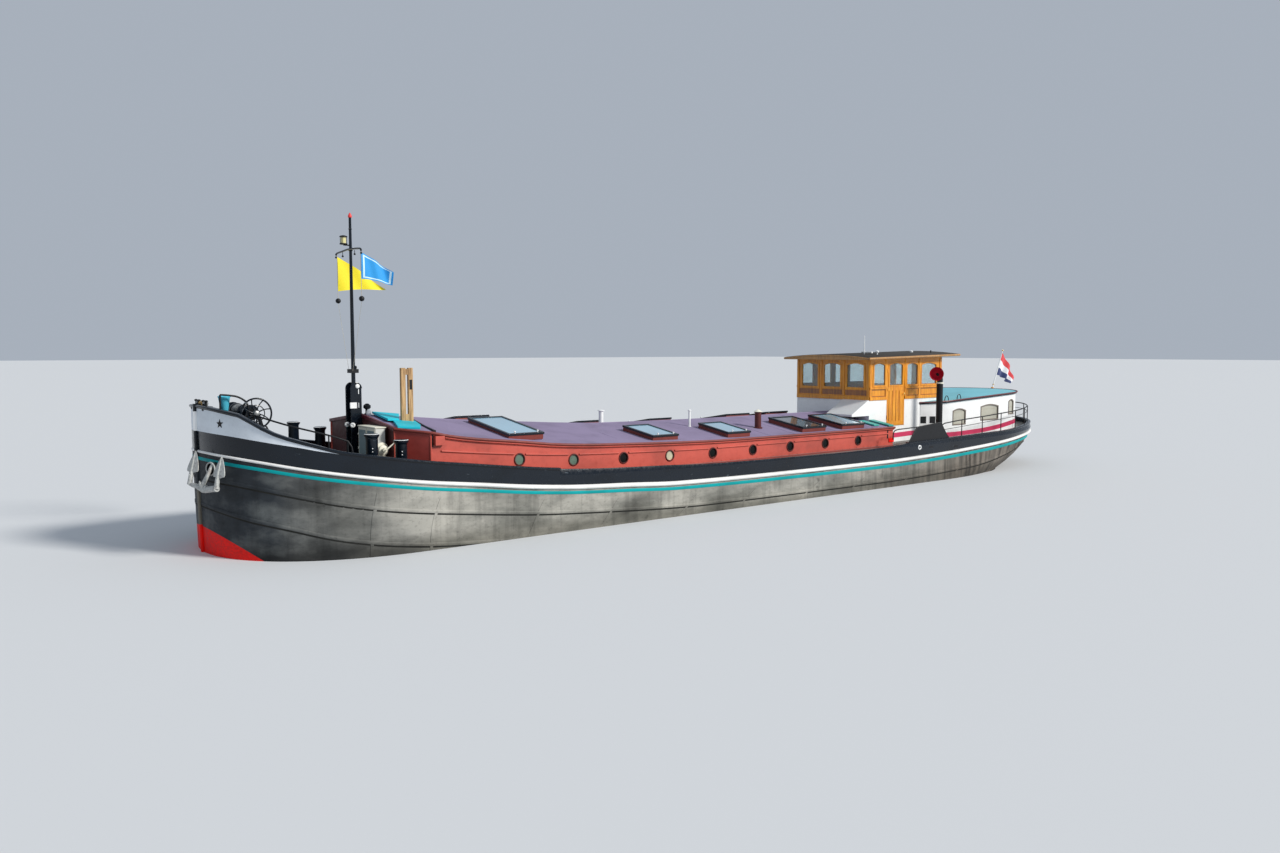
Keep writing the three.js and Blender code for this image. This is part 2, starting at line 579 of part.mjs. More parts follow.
function makeWheelhouse() {
  const { front, half, sill } = HOUSE;
  const [x0, x1] = [aft(HOUSE.aft), aft(front)];
  const door = HOUSE_DOOR;
  const doorway = box([aft(door.to), aft(door.from)], [-half - 100, half + 100],
    [above(door.low), above(door.high)]);
  const shell = box([x0, x1], [-half, half], [UNDER_DECK, above(sill)])
    .subtract(box([x0 + WALL_THICK, x1 - WALL_THICK], [-half + WALL_THICK, half - WALL_THICK],
      [above(0), above(sill + 200)]));
  const bite = WALL_THICK - 5;
  const ledge = box([x0 + bite, x1 - bite], [-half + bite, half - bite],
    [above(HOUSE_FLOOR - 40), above(HOUSE_FLOOR)]);
  add('wheelhouse_base', 'white', onDeck(join([shell, ledge, companionHood()]).subtract(doorway)));
  const bottom = above(sill) + GAP;
  const sideOutline = [[x0, bottom], [x1, bottom], [x1, above(HOUSE.topFront)], [x0, above(HOUSE.topAft)]];
  for (const [name, side] of [['port', 1], ['starboard', -1]]) {
    const [low, high] = side > 0 ? [half - WALL_THICK, half] : [-half, WALL_THICK - half];
    let wall = prism('xz', sideOutline, low, high).subtract(doorway);
    for (const [from, to] of SIDE_WINDOWS) {
      const window = archedOutline(aft(to), aft(from), above(HOUSE_WINDOW.low), above(HOUSE_WINDOW.high),
        HOUSE_WINDOW.arch);
      wall = wall.subtract(prism('xz', window, -half - 100, half + 100));
    }
    add(`wheelhouse_${name}`, 'wood', wall);
    makeDoor(name, side);
  }
  for (const [name, from, to, top] of [['front', x1 - WALL_THICK, x1, HOUSE.topFront - 4],
    ['aft', x0, x0 + WALL_THICK, HOUSE.topAft - 8]]) {
    const reach = half - WALL_THICK - GAP;
    let wall = box([from, to], [-reach, reach], [bottom, above(top)]);
    for (const centre of FRONT_WINDOWS) {
      const window = archedOutline(centre - FRONT_WINDOW_WIDTH / 2, centre + FRONT_WINDOW_WIDTH / 2,
        above(HOUSE_WINDOW.low - 60), above(HOUSE_WINDOW.high), HOUSE_WINDOW.arch);
      wall = wall.subtract(prism('yz', window, from - 100, to + 100));
    }
    add(`wheelhouse_${name}`, 'wood', wall);
  }
  const arc = Array.from({ length: 9 }, (_, i) => {
    const share = 1 - 2 * i / 8;
    return [HOUSE_ROOF.half * share, HOUSE_ROOF.thick + HOUSE_ROOF.camber * (1 - share * share)];
  });
  const length = HOUSE_ROOF.aft - HOUSE_ROOF.front;
  const profile = [[-HOUSE_ROOF.half, 0], [HOUSE_ROOF.half, 0], ...arc];
  const rise = Math.atan((HOUSE.topAft - HOUSE.topFront) / (HOUSE.aft - HOUSE.front));
  const frontLift = (HOUSE.front - HOUSE_ROOF.front) * Math.tan(rise);
  add('wheelhouse_roof', 'wood', prism('yz', profile, -length, 0),
    [aft(HOUSE_ROOF.front), 0, above(HOUSE.topFront) - frontLift + 2 * GAP], [0, rise, 0]);
}

// Door leaf about its hinge, at the forward edge of the doorway and the wall's outer face
function makeDoor(name, side) {
  const { from, to, low, high } = HOUSE_DOOR;
  const width = to - from - 2 * CLEAR;
  const height = high - low - 2 * CLEAR;
  const across = side > 0 ? [-WALL_THICK - 8, -8] : [8, 8 + WALL_THICK];
  const stile = 110;
  const pane = archedOutline(stile - width, -stile, HOUSE_WINDOW.low - low, HOUSE_WINDOW.high - low,
    HOUSE_WINDOW.arch);
  const leaf = box([-width, 0], across, [0, height]).subtract(prism('xz', pane, -200, 200));
  const barrel = join([200, height - 320].map((z) => bar([0, side * 9, z], [0, side * 9, z + 120], 8)
    .add(box([-60, 0], side > 0 ? [-9, 4] : [-4, 9], [z, z + 120]))));
  add(`wheelhouse_door_${name}`, 'wood', leaf.add(barrel),
    [aft(from) - CLEAR - 4, side * (HOUSE.half + 8), above(low) + CLEAR]);
}

function makeInterior() {
  const desk = box([aft(18560), aft(18100)], [-900, 900], [above(HOUSE_FLOOR) + GAP, above(2450)]);
  const spindle = bar([aft(18620), 0, above(2300)], [aft(18540), 0, above(2300)], 30);
  add('helm_console', 'wood', desk.add(spindle));
  const wheelRadius = 380;
  const spokes = Array.from({ length: 4 }, (_, i) => {
    const turn = Math.PI * i / 4;
    const [dy, dz] = [Math.cos(turn) * (wheelRadius + 110), Math.sin(turn) * (wheelRadius + 110)];
    return bar([0, -dy, -dz], [0, dy, dz], 14, 6);
  });
  const rim = ringShape(wheelRadius, 26).rotate([0, 90, 0]);
  const hub = bar([-40, 0, 0], [44, 0, 0], 55, 10);
  add('helm_wheel', 'wood', join([rim, hub, ...spokes]), [aft(18670), 0, above(2300)]);
  const [engineFront, engineAft] = [18900, 20600];
  add('engine', 'engine', box([aft(engineAft), aft(engineFront)], [-380, 380],
    [ENGINE_WELL.floor + GAP, ENGINE_WELL.floor + 1050]));
}

// Sloping steel hood of the way down into the hold, against the wheelhouse's front
function companionHood() {
  const { front, low, side, from, to } = HOOD;
  const outline = [[front, 1900], [front, low], [HOUSE.front - 50, HOUSE.sill - 10],
    [HOUSE.front + 20, HOUSE.sill - 10], [HOUSE.front + 20, 1900]]
    .map(([distance, height]) => [aft(distance), above(height)]);
  return prism('xz', outline, from, to).subtract(roofSlab(side, -600, GAP));
}

// Aft cabin: plan to port from the front to the round end
const CABIN_ROUND = 0.8;
function cabinPlan(grow) {
  const points = [[CABIN.front - grow, HOUSE.half + 10], [CABIN.shoulder, CABIN.half + grow]];
  for (let i = 0; i <= 7; i++) {
    const turn = Math.PI / 2 * i / 7;
    points.push([CABIN.roundFrom + (CABIN.end - CABIN.roundFrom + grow) * Math.sin(turn) ** CABIN_ROUND,
      (CABIN.half + grow) * Math.max(0, Math.cos(turn)) ** CABIN_ROUND]);
  }
  points[points.length - 1][1] = 0;
  const port = points.map(([distance, half]) => [aft(distance), half]);
  return [...port, ...port.slice(0, -1).reverse().map(([x, y]) => [x, -y])];
}

function makeAftCabin() {
  const tilt = Math.atan(CABIN.rise / (CABIN.end - CABIN.front)) * 180 / Math.PI;
  const slopedSlab = (low, high) => box([-8000, 1000], [-BEAM, BEAM], [low, high]).rotate([0, tilt, 0])
    .translate([aft(CABIN.front), 0, above(CABIN.top)]);
  const [low, high] = [UNDER_DECK, above(HOUSE.topAft)];
  const house = box([aft(HOUSE.aft) - 15, aft(HOUSE.front)], [-HOUSE.half - 3, HOUSE.half + 3], [low, high]);
  const inner = prism('xy', cabinPlan(-WALL_THICK), low - 100, high + 100);
  let walls = prism('xy', cabinPlan(0), low, high).subtract(inner).subtract(slopedSlab(0, high));
  for (const [from, to, sill, head] of CABIN_WINDOWS) {
    const window = archedOutline(aft(to), aft(from), above(sill), above(head), HOUSE_WINDOW.arch);
    walls = walls.subtract(prism('xz', window, -BEAM / 2, BEAM / 2));
  }
  add('aft_cabin_walls', 'white', onDeck(walls).subtract(house));
  const roof = prism('xy', cabinPlan(CABIN_ROOF.overhang), low, high)
    .intersect(slopedSlab(GAP, CABIN_ROOF.thick));
  add('aft_cabin_roof', 'cyan', roof.subtract(house));
}

// Propeller and rudder
function makeSternGear() {
  const { at, height, radius, hub, blades } = PROPELLER;
  const outline = [[0, 40], [70, 120], [105, 220], [90, 320], [40, radius], [-50, radius - 15], [-100, 260],
    [-80, 130]];
  const shapes = Array.from({ length: blades }, (_, i) =>
    prism('xz', outline, -9, 9).rotate([0, 0, 52]).rotate([360 / blades * i, 0, 0]));
  const boss = bar([-140, 0, 0], [310, 0, 0], hub, 12).subtract(bar([200, 0, 0], [400, 0, 0], 300, 12))
    .add(bar([0, 0, 0], [300, 0, 0], 45, 10));
  add('propeller', 'bronze', join([boss, ...shapes]), [aft(at), 0, height]);
  const { stock, lead, trail, low, top, thick, stockRadius } = RUDDER;
  const blade = [[lead, low + 60], [lead, top - 60], [lead - 80, top], [-trail, top], [-trail, low + 40],
    [100 - trail, low], [lead - 80, low]].reverse();
  const shaft = bar([0, 0, top - 50], [0, 0, 1150], stockRadius, 12);
  add('rudder', 'hull', prism('xz', blade, -thick / 2, thick / 2).add(shaft), [aft(stock), 0, 0]);
}

// Foredeck: mast in its tabernacle, winches, bollards, rails and anchor
function makeMast() {
  const { at, cheek, width, depth, top } = TABERNACLE;
  const x = aft(at);
  const [back, half] = [x - depth / 2, width / 2];
  const cheeks = [[-half, cheek - half], [half - cheek, half]].map((across) =>
    box([back, back + depth], across, [UNDER_FOREDECK, above(top)]));
  const web = box([back, back + 30], [-half, half], [UNDER_FOREDECK, above(2300)]);
  const foot = box([x - 110, x + 200], [-260, 260], [UNDER_FOREDECK, above(1560)])
    .subtract(box([x - 90, x + 300], [-85, 85], [above(1490), above(1700)]));
  add('tabernacle', 'black', onDeck(join([...cheeks, web, foot])));
  const up = (height) => height - MAST.pivot;
  const pole = bar([0, 0, up(MAST.heel)], [0, 0, up(MAST.top)], MAST.radius, 10, MAST.tip);
  const reach = width / 2 - cheek - CLEAR;
  const pin = bar([0, -reach, 0], [0, reach, 0], 24, 8);
  const yard = pipe([[0, -YARD.half, up(YARD.height) - YARD.fall], [0, 0, up(YARD.height)],
    [0, YARD.half, up(YARD.height) - YARD.fall]], YARD.radius);
  const { out, side, low, high, radius } = LANTERN;
  const lantern = bar([out, side, up(low)], [out, side, up(high)], radius, 10);
  const bracket = box([0, out], [side - 20, side + 20], [up(low) - 25, up(low) + 5]);
  const cap = bar([0, 0, up(MAST.top) - 5], [0, 0, up(MAST.top) + 70], 40, 8, 10);
  add('mast', 'black', join([pole, pin, yard, bracket, lantern, cap]), [x, 0, above(MAST.pivot)]);
}

function makeForedeck() {
  const { half, radius, plate, plateHalf, plateThick } = BOLLARD;
  for (const [name, side] of [['port', 1], ['starboard', -1]]) {
    const y = side * half;
    const posts = BOLLARDS.map(([distance, rise]) =>
      bar([aft(distance), y, UNDER_FOREDECK], [aft(distance), y, capAt(aft(distance)) + rise], radius, 12));
    const foot = box([aft(plate[1]), aft(plate[0])], [y - plateHalf, y + plateHalf],
      [UNDER_FOREDECK, above(1700)]).intersect(deckHull.translate([0, 0, plateThick]));
    add(`bollards_${name}`, 'black', onDeck(join([...posts, foot])));
    const line = BOW_RAIL.map(([distance, breadth, lift]) =>
      [aft(distance), side * breadth, capAt(aft(distance)) + lift]);
    const legs = [0, 2, 3].map((i) => bar(line[i], [line[i][0], line[i][1], deckAt(line[i][0]) + 5], 14, 6));
    add(`bow_rail_${name}`, 'black', join([rail(side > 0 ? line : line.reverse(), 16), ...legs]));
  }
  const { from, to, low, high, top } = MAST_WINCH;
  add('mast_winch', 'white', onDeck(box([aft(to), aft(from)], [low, high], [UNDER_FOREDECK, above(top)])));
  makeAnchorWinch();
  makeAnchor();
}

function makeAnchorWinch() {
  const { at, height, frames, wheelAt, wheelRadius, axleAft } = ANCHOR_WINCH;
  const x = aft(at);
  const [low, centre] = [above(1500), above(height)];
  const side = [[x + 330, low], [x + 100, centre + 80], [x - 100, centre + 80], [x - 330, low]];
  const plates = [-frames, frames].map((y) => prism('xz', side, y - 20, y + 20)
    .add(bar([x, y - 45, centre], [x, y + 45, centre], 80, 12)));
  const tie = box([x - 270, x + 270], [-frames - 20, frames + 20], [low, above(2000)])
    .intersect(deckHull.translate([0, 0, 60]));
  const hole = bar([x, -wheelAt, centre], [x, wheelAt, centre], 42, 12);
  add('anchor_winch_frame', 'black', onDeck(join([...plates, tie]).subtract(hole)));
  const axle = bar([0, axleAft, 0], [0, wheelAt + 40, 0], 35, 12);
  const drum = bar([0, -430, 0], [0, 430, 0], 110, 14);
  const rim = ringShape(wheelRadius, 18).rotate([90, 0, 0]).translate([0, wheelAt, 0]);
  const spokes = Array.from({ length: 4 }, (_, i) => {
    const turn = Math.PI * i / 4;
    const [dx, dz] = [Math.cos(turn) * wheelRadius, Math.sin(turn) * wheelRadius];
    return bar([-dx, wheelAt, -dz], [dx, wheelAt, dz], 12, 6);
  });
  const smallWheel = bar([0, axleAft, 0], [0, axleAft + 60, 0], 150, 14);
  add('anchor_winch_drum', 'black', join([axle, drum, rim, smallWheel, ...spokes]), [x, 0, above(height)]);
}

// Stockless anchor hanging from its bracket on the port bow, flukes up and leaning in to the hull
function makeAnchor() {
  const { at, side, height, turn, lean, arm } = ANCHOR;
  const halfLeaf = [[60, 0], [145, 30], [140, 110], [90, 260]];
  const leaf = [...halfLeaf, [0, 400], ...halfLeaf.map(([y, z]) => [-y, z]).reverse()];
  const tilt = -Math.atan(lean / 560) * 180 / Math.PI;
  const flukes = FLUKES.map(([across, low]) => prism('yz', leaf, -16, 16).rotate([0, tilt, 0])
    .translate([lean * 0.7, across, low])
    .add(bar([lean, across, low - 190], [lean * 0.35, across, low + 210], arm, 8)));
  const [[left], [right]] = FLUKES;
  const crown = prism('yz', [[left - 20, 30], [left - 20, -55], [-60, -130], [90, -80], [right + 20, -75],
    [right + 20, 30]], lean - 40, lean + 40);
  const shank = bar([lean, 0, 0], [-30, 10, 330], arm, 8);
  const body = join([crown, ...flukes, shank]).rotate([0, 0, turn])
    .translate([aft(at), side, above(height)]);
  const bracket = box([aft(700), aft(at) + 30], [side - 60, side + 60],
    [above(height) + 230, above(height) + 330]);
  const parts = body.add(bracket).subtract(hullSolid(GAP)).decompose();
  add('anchor_port', 'grey', parts.sort((a, b) => b.volume() - a.volume())[0]);
}

function makeDeckGear() {
  const { at, side: postY, top: postTop, plank, thick, apart, blocks: blockHeights } = TIMBER_POST;
  const postX = aft(at);
  const planks = [-apart, apart].map((dx) => box([postX + dx - plank / 2, postX + dx + plank / 2],
    [postY - thick / 2, postY + thick / 2], [above(2000), above(postTop)]));
  const blocks = blockHeights.map((height) => box([postX - 60, postX + 60], [postY - 25, postY + 25],
    [above(height), above(height + 80)]));
  const board = box([aft(4050), aft(3250)], [650, 1750], [above(2000), above(2700)])
    .intersect(roofSlab(1, -500, 55));
  const post = join([...planks, ...blocks, board]);
  add('timber_post', 'timber', post.subtract(roofSlab(1, -900, GAP)));
  const pipeAt = (distance, y, height, radius, top) => {
    const x = aft(distance);
    return bar([x, y, above(1500)], [x, y, above(height)], radius, 10)
      .add(bar([x, y, above(height) - 5], [x, y, above(height) + top], radius + 30, 10, 20))
      .subtract(roofSlab(y > 0 ? 1 : -1, -900, GAP));
  };
  add('stove_pipe', 'red', pipeAt(13550, 1300, 2150, 85, 60));
  add('hold_vent_port', 'white', pipeAt(11600, 800, 2260, 30, 30));
  add('hold_vent_starboard', 'white', pipeAt(9700, -400, 2260, 60, 50));
  const stackX = aft(STACK.at);
  add('exhaust_stack', 'black',
    onDeck(bar([stackX, STACK.side, UNDER_DECK], [stackX, STACK.side, above(STACK.top)], STACK.radius, 12)));
  const { neck, height, mouth, reach, turn, ahead } = COWL;
  const head = bar([-reach * 0.8, 0, 0], [reach, 0, 0], neck, 14, mouth).rotate([0, 0, turn])
    .translate([stackX + ahead, STACK.side, above(height)]);
  const bend = above((STACK.top + height) / 2);
  const foot = bar([stackX, STACK.side, above(STACK.top) + GAP], [stackX, STACK.side, bend], neck, 14);
  const arm = bar([stackX, STACK.side, bend - neck / 2], [stackX + ahead, STACK.side, above(height)],
    neck, 14);
  add('cowl_vent', 'red', join([head, foot, arm]));
}

function makeSternDeck() {
  const railAt = (x) => lineAt(STERN_RAIL_LINE, x);
  const inset = 130;
  const edge = deckEdge(19950, DECK_RING.stern);
  const directions = outward([...edge, ...mirrored(edge.slice(0, -1))]);
  const line = [...edge, ...mirrored(edge.slice(0, -1))].map(([x, y], i) =>
    [x - directions[i][0] * inset, y - directions[i][1] * inset]);
  const top = rail(line.map(([x, y]) => [x, y, railAt(x)]), 17);
  const middle = rail(line.map(([x, y]) => [x, y, (railAt(x) + capAt(x)) / 2]), 12, 4);
  const posts = line.filter((_, i) => i % 2 === 1)
    .map(([x, y]) => bar([x, y, deckAt(x) + 5], [x, y, railAt(x)], 14, 6));
  add('stern_rail', 'black', join([top, middle, ...posts]));
  const { foot, head, radius, tip, shoe } = STAFF;
  const staff = bar([aft(foot[0]), 0, above(foot[1])], [aft(head[0]), 0, above(head[1])], radius, 8, tip);
  const post = box([aft(foot[0]) - shoe, aft(foot[0]) + shoe], [-shoe, shoe],
    [UNDER_DECK, above(foot[1]) + shoe]);
  add('flagstaff', 'timber', onDeck(staff.add(post)));
}

makeHull();
makeStem();
makeSkeg();
makeBand();
makeBulwarks();
makeHold();
makeSkylightLids();
makeWheelhouse();
makeInterior();
makeAftCabin();
makeSternGear();
makeMast();
makeForedeck();
makeDeckGear();
makeSternDeck();

export default group;
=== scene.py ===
"""River barge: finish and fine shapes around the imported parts.

Metres. +X is forward, +Y is port, +Z is up, and the origin is amidships on the flat bottom. Places on the
ship are written as metres aft of the stem, metres to port and metres above the water.
"""
import math
from bisect import bisect_right
from functools import lru_cache

import bmesh
import bpy
from mathutils import Matrix, Vector


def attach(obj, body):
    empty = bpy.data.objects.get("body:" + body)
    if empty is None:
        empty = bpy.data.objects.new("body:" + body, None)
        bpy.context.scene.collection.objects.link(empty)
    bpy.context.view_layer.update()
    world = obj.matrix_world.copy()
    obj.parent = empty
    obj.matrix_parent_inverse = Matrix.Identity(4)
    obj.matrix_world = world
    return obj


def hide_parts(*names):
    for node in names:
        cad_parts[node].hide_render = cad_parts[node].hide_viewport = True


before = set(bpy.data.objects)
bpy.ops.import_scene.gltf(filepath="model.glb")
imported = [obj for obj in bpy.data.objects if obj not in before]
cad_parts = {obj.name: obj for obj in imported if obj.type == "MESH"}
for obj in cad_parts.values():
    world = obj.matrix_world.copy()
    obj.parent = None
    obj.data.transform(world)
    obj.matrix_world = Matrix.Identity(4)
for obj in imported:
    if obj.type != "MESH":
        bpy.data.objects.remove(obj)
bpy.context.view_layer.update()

# Driving dimensions
STEM_X = 13.56
DRAFT = 0.9
SIDES = {"port": 1, "starboard": -1}
TO_PORT = (0, 1, 0)


def ship(aft, port, up):
    """Point of the model from its place on the ship"""
    return Vector((STEM_X - aft, port, DRAFT + up))


def upward(distance):
    return Vector((0, 0, distance))


def circle(steps):
    """Angles of equal steps once round"""
    return [2 * math.pi * k / steps for k in range(steps)]


def half_circle(steps):
    """Angles of equal steps half round, with both ends"""
    return [math.pi * k / steps for k in range(steps + 1)]


class Line:
    """Fair line through points of (metres aft of the stem, value), with no overshoot between them"""

    def __init__(self, *points):
        self.places = [p[0] for p in points]
        self.values = [p[1] for p in points]
        runs = range(len(points) - 1)
        steps = [self.places[i + 1] - self.places[i] for i in runs]
        falls = [(self.values[i + 1] - self.values[i]) / steps[i] for i in runs]
        middle = [2 * a * b / (a + b) if a * b > 0 else 0 for a, b in zip(falls, falls[1:])]
        self.slopes = [falls[0], *middle, falls[-1]]

    def __call__(self, at):
        at = min(max(at, self.places[0]), self.places[-1])
        i = max(0, min(len(self.places) - 2, bisect_right(self.places, at) - 1))
        step = self.places[i + 1] - self.places[i]
        s = (at - self.places[i]) / step
        rise = self.values[i] * (1 + 2 * s) * (1 - s) ** 2 + self.values[i + 1] * s * s * (3 - 2 * s)
        return rise + step * (self.slopes[i] * s * (1 - s) ** 2 - self.slopes[i + 1] * s * s * (1 - s))


# Lines along the ship: (metres aft of the stem, metres above the water)
DECK = Line((0, 2.15), (1, 1.86), (2, 1.65), (3.2, 1.44), (5, 1.24), (8, 1.11), (12, 1.05), (18, 1.06),
            (20.5, 1.1), (23, 1.15), (25.5, 1.22), (27.4, 1.31))
CAP = Line((0, 2.76), (0.12, 2.72), (0.2, 2.69), (0.38, 2.63), (0.52, 2.52), (0.65, 2.42), (0.9, 2.27),
           (1.21, 2.155), (1.52, 2.055), (1.84, 1.955), (1.97, 1.93), (2.61, 1.82), (3.47, 1.69),
           (4.23, 1.594), (5.42, 1.445), (6.42, 1.34), (7.74, 1.26), (9.18, 1.21), (11, 1.14), (16, 1.1),
           (17.6, 1.148), (18.3, 1.177), (20.26, 1.21), (21.9, 1.245), (23.49, 1.278), (24.56, 1.33),
           (27.4, 1.46))
BAND = Line((0, 1.92), (0.59, 1.8), (1.29, 1.65), (2.07, 1.51), (3.44, 1.3), (4.52, 1.17), (5.67, 1.03),
            (6.91, 0.92), (8.25, 0.85), (9.7, 0.77), (13, 0.73), (17, 0.72), (19.2, 0.76), (21.8, 0.87),
            (23.2, 0.955), (25.2, 1.08), (27.4, 1.16))
RIDGE = Line((3, 2.51), (5, 2.3), (6.8, 2.16), (9.4, 2.01), (13.6, 1.97), (18.3, 1.98))
EAVE = Line((3, 2.23), (3.73, 2.225), (4.1, 2.15), (4.6, 2.07), (5.2, 2.0), (5.75, 1.94), (6.7, 1.83),
            (7.8, 1.76), (12.1, 1.64), (18.3, 1.63))
STERN_RAIL = Line((19.9, 1.63), (21, 1.71), (22.1, 1.765), (23.1, 1.82), (24.4, 1.87), (27.4, 1.98))
MIDDLE_RAIL = Line((19.9, 1.45), (21.1, 1.517), (22.1, 1.578), (23.2, 1.644), (27.4, 1.8))
CRIMSON_LINE = Line((18.2, 1.25), (19.3, 1.277), (20.2, 1.301), (21.4, 1.205), (23, 1.245), (24, 1.315),
                    (25.05, 1.44), (26, 1.5))
# Rubbing band: half its height, and how far it stands off the hull
BAND_HALF = Line((0, 0.024), (1, 0.027), (3, 0.036), (8, 0.05), (27.4, 0.046))
BAND_REACH = Line((0, 0.02), (1, 0.03), (3, 0.05), (5, 0.06), (27.4, 0.06))
# Painted stripe: how far it lies under the band, and half its height
STRIPE_DROP = Line((0, 0.13), (3, 0.117), (7, 0.117), (10, 0.12), (15, 0.127), (20, 0.132), (27.4, 0.137))
STRIPE_HALF = Line((0, 0.031), (8, 0.035), (16, 0.042), (27.4, 0.046))
# Foot of the bow's white panel, and where the panel ends
PANEL = Line((0, 2.297), (0.28, 2.247), (0.52, 2.194), (0.79, 2.135), (1.21, 2.05), (1.43, 1.998),
             (1.73, 1.937), (2.2, 1.84))
PANEL_END = 1.76
# Seams between the hull's plates, and the places of the upright butts
SEAMS = [Line((0, 1.45), (0.3, 1.395), (1, 1.22), (1.8, 1.02), (2.74, 0.85), (4.05, 0.68), (6.5, 0.43),
              (10.9, 0.22), (17, 0.2), (21, 0.3), (24, 0.62), (25.3, 0.9)),
         Line((0, 0.94), (0.46, 0.76), (1, 0.61), (1.8, 0.38), (2.73, 0.21), (4, 0.07), (8, -0.12),
              (17, -0.2), (21, -0.1), (23.5, 0.1))]
BUTTS = [2.6, 3.9, 6.1, 8.4, 10.7, 13, 15.3, 17.6, 19.9, 22.2]

# Horizontal sections of the hull. The first value is a height over the bottom, or above the water a share of
# the way up to the deck. The others are the half breadth, the places of the bow's and the stern's ends, and
# the lengths of the bow's and the stern's rounds
RINGS = [
    (0.0, (2.25, 1.5, 20.9, 2.6, 6.0)),
    (0.1, (2.47, 1.0, 21.6, 2.8, 6.0)),
    (0.3, (2.57, 0.52, 22.4, 3.0, 6.0)),
    (0.56, (2.6, 0.22, 23.1, 3.2, 5.8)),
    (0.73, (2.6, 0.12, 23.6, 3.3, 5.5)),
    (0.9, (2.6, 0.06, 25.5, 3.4, 5.3)),
    (0.4, (2.6, 0.03, 26.6, 3.5, 5.0)),
    (0.75, (2.6, 0.01, 27.15, 3.7, 4.75)),
    (1.0, (2.6, 0.0, 27.35, 3.8, 4.6)),
]
WATER_RING = 5
DECK_RING = 8
ROUND_POWER = {"bow": 2.2, "stern": 2.0}
RING_LINES = [Line(*((k, ring[1][column]) for k, ring in enumerate(RINGS))) for column in range(5)]
RING_HEIGHTS = Line(*((k, RINGS[k][0]) for k in range(WATER_RING + 1)))
RING_SHARES = Line((WATER_RING, 0), *((k, RINGS[k][0]) for k in range(WATER_RING + 1, DECK_RING + 1)))

HALF_BEAM = 2.6
COAMING = {"half": 2.1, "front_half": 1.6, "front": 3.22, "shoulder": 3.74, "aft": 18.2}
PORTHOLE = {"radius": 0.12, "first": 5.75, "step": 1.363, "count": 9}
# Skylights: centre aft of the stem, width along the ship, upper edge off the centreline, lower edge
SKYLIGHTS = [(5.99, 0.88, 0.26, 1.99), (9.75, 0.79, 0.9, 2.06), (12.13, 0.79, 0.95, 2.06),
             (14.9, 0.94, 0.8, 2.06), (16.5, 0.96, 0.8, 2.06)]
CURB_RISE = 0.095
HOUSE = {"front": 18.01, "aft": 21.5, "half": 1.39, "sill": 2.36, "top_front": 3.52, "top_aft": 3.6}
DOOR = {"from": 18.81, "to": 19.66, "low": 1.56, "high": 3.45}
ROOF = {"front": 17.68, "aft": 22.1, "half": 1.63, "thick": 0.07, "camber": 0.09}
CABIN = {"front": 20.45, "shoulder": 21.25, "half": 1.8, "round_from": 24.6, "end": 26.0, "rise": 0.25,
         "top": 2.15}
# Cabin windows: from, to, sill and head
CABIN_WINDOWS = [(21.57, 22.22, 1.505, 1.97), (23.09, 24.05, 1.585, 2.05), (24.69, 25.0, 1.72, 2.17)]


def station_list(bow=30, side=46, stern=30):
    """Places round half of a section: (end, angle) on the round ends, ("side", share) between them"""
    quarter = math.pi / 2
    places = [("bow", quarter * (1 - i / bow)) for i in range(bow)]
    places += [("side", i / side) for i in range(side)]
    return places + [("stern", quarter * i / stern) for i in range(stern + 1)]


def hull_point(level, station):
    """Metres aft, to port and above the water, at a level counted in rings and a place round the section"""
    half, bow, stern, bow_round, stern_round = (line(level) for line in RING_LINES)
    part, value = station
    if part == "side":
        aft = bow + bow_round + (stern - stern_round - bow - bow_round) * value
        port = half
    else:
        root = 2 / ROUND_POWER[part]
        reach = math.sin(value) ** root
        port = half * max(0, math.cos(value)) ** root
        aft = bow + bow_round * (1 - reach) if part == "bow" else stern - stern_round * (1 - reach)
    if port < 1e-4 or abs(value - math.pi / 2) < 1e-9:
        port = 0
    if level <= WATER_RING:
        return aft, port, RING_HEIGHTS(level) - DRAFT
    return aft, port, RING_SHARES(level) * DECK(aft)


@lru_cache(maxsize=None)
def rib(station):
    """Points of the hull's side at one place round the section, from the bottom to the deck"""
    return [hull_point(k / 4, station) for k in range(4 * DECK_RING + 1)]


def hull_at(station, height):
    """Point of the hull's side where it meets a line of heights, or over the deck's edge above the deck"""
    points = rib(station)
    if height(points[-1][0]) >= points[-1][2]:
        return points[-1][0], points[-1][1], height(points[-1][0])
    for low, high in zip(points, points[1:]):
        under, over = height(low[0]) - low[2], high[2] - height(high[0])
        if under >= 0 and over >= 0:
            share = under / max(1e-9, under + over)
            return tuple(a + (b - a) * share for a, b in zip(low, high))
    return points[0]


# Materials

def linear(red, green, blue):
    """Colour from screen values of 0 to 255"""
    return tuple((c / 255 / 12.92) if c / 255 <= 0.04045 else ((c / 255 + 0.055) / 1.055) ** 2.4
                 for c in (red, green, blue))


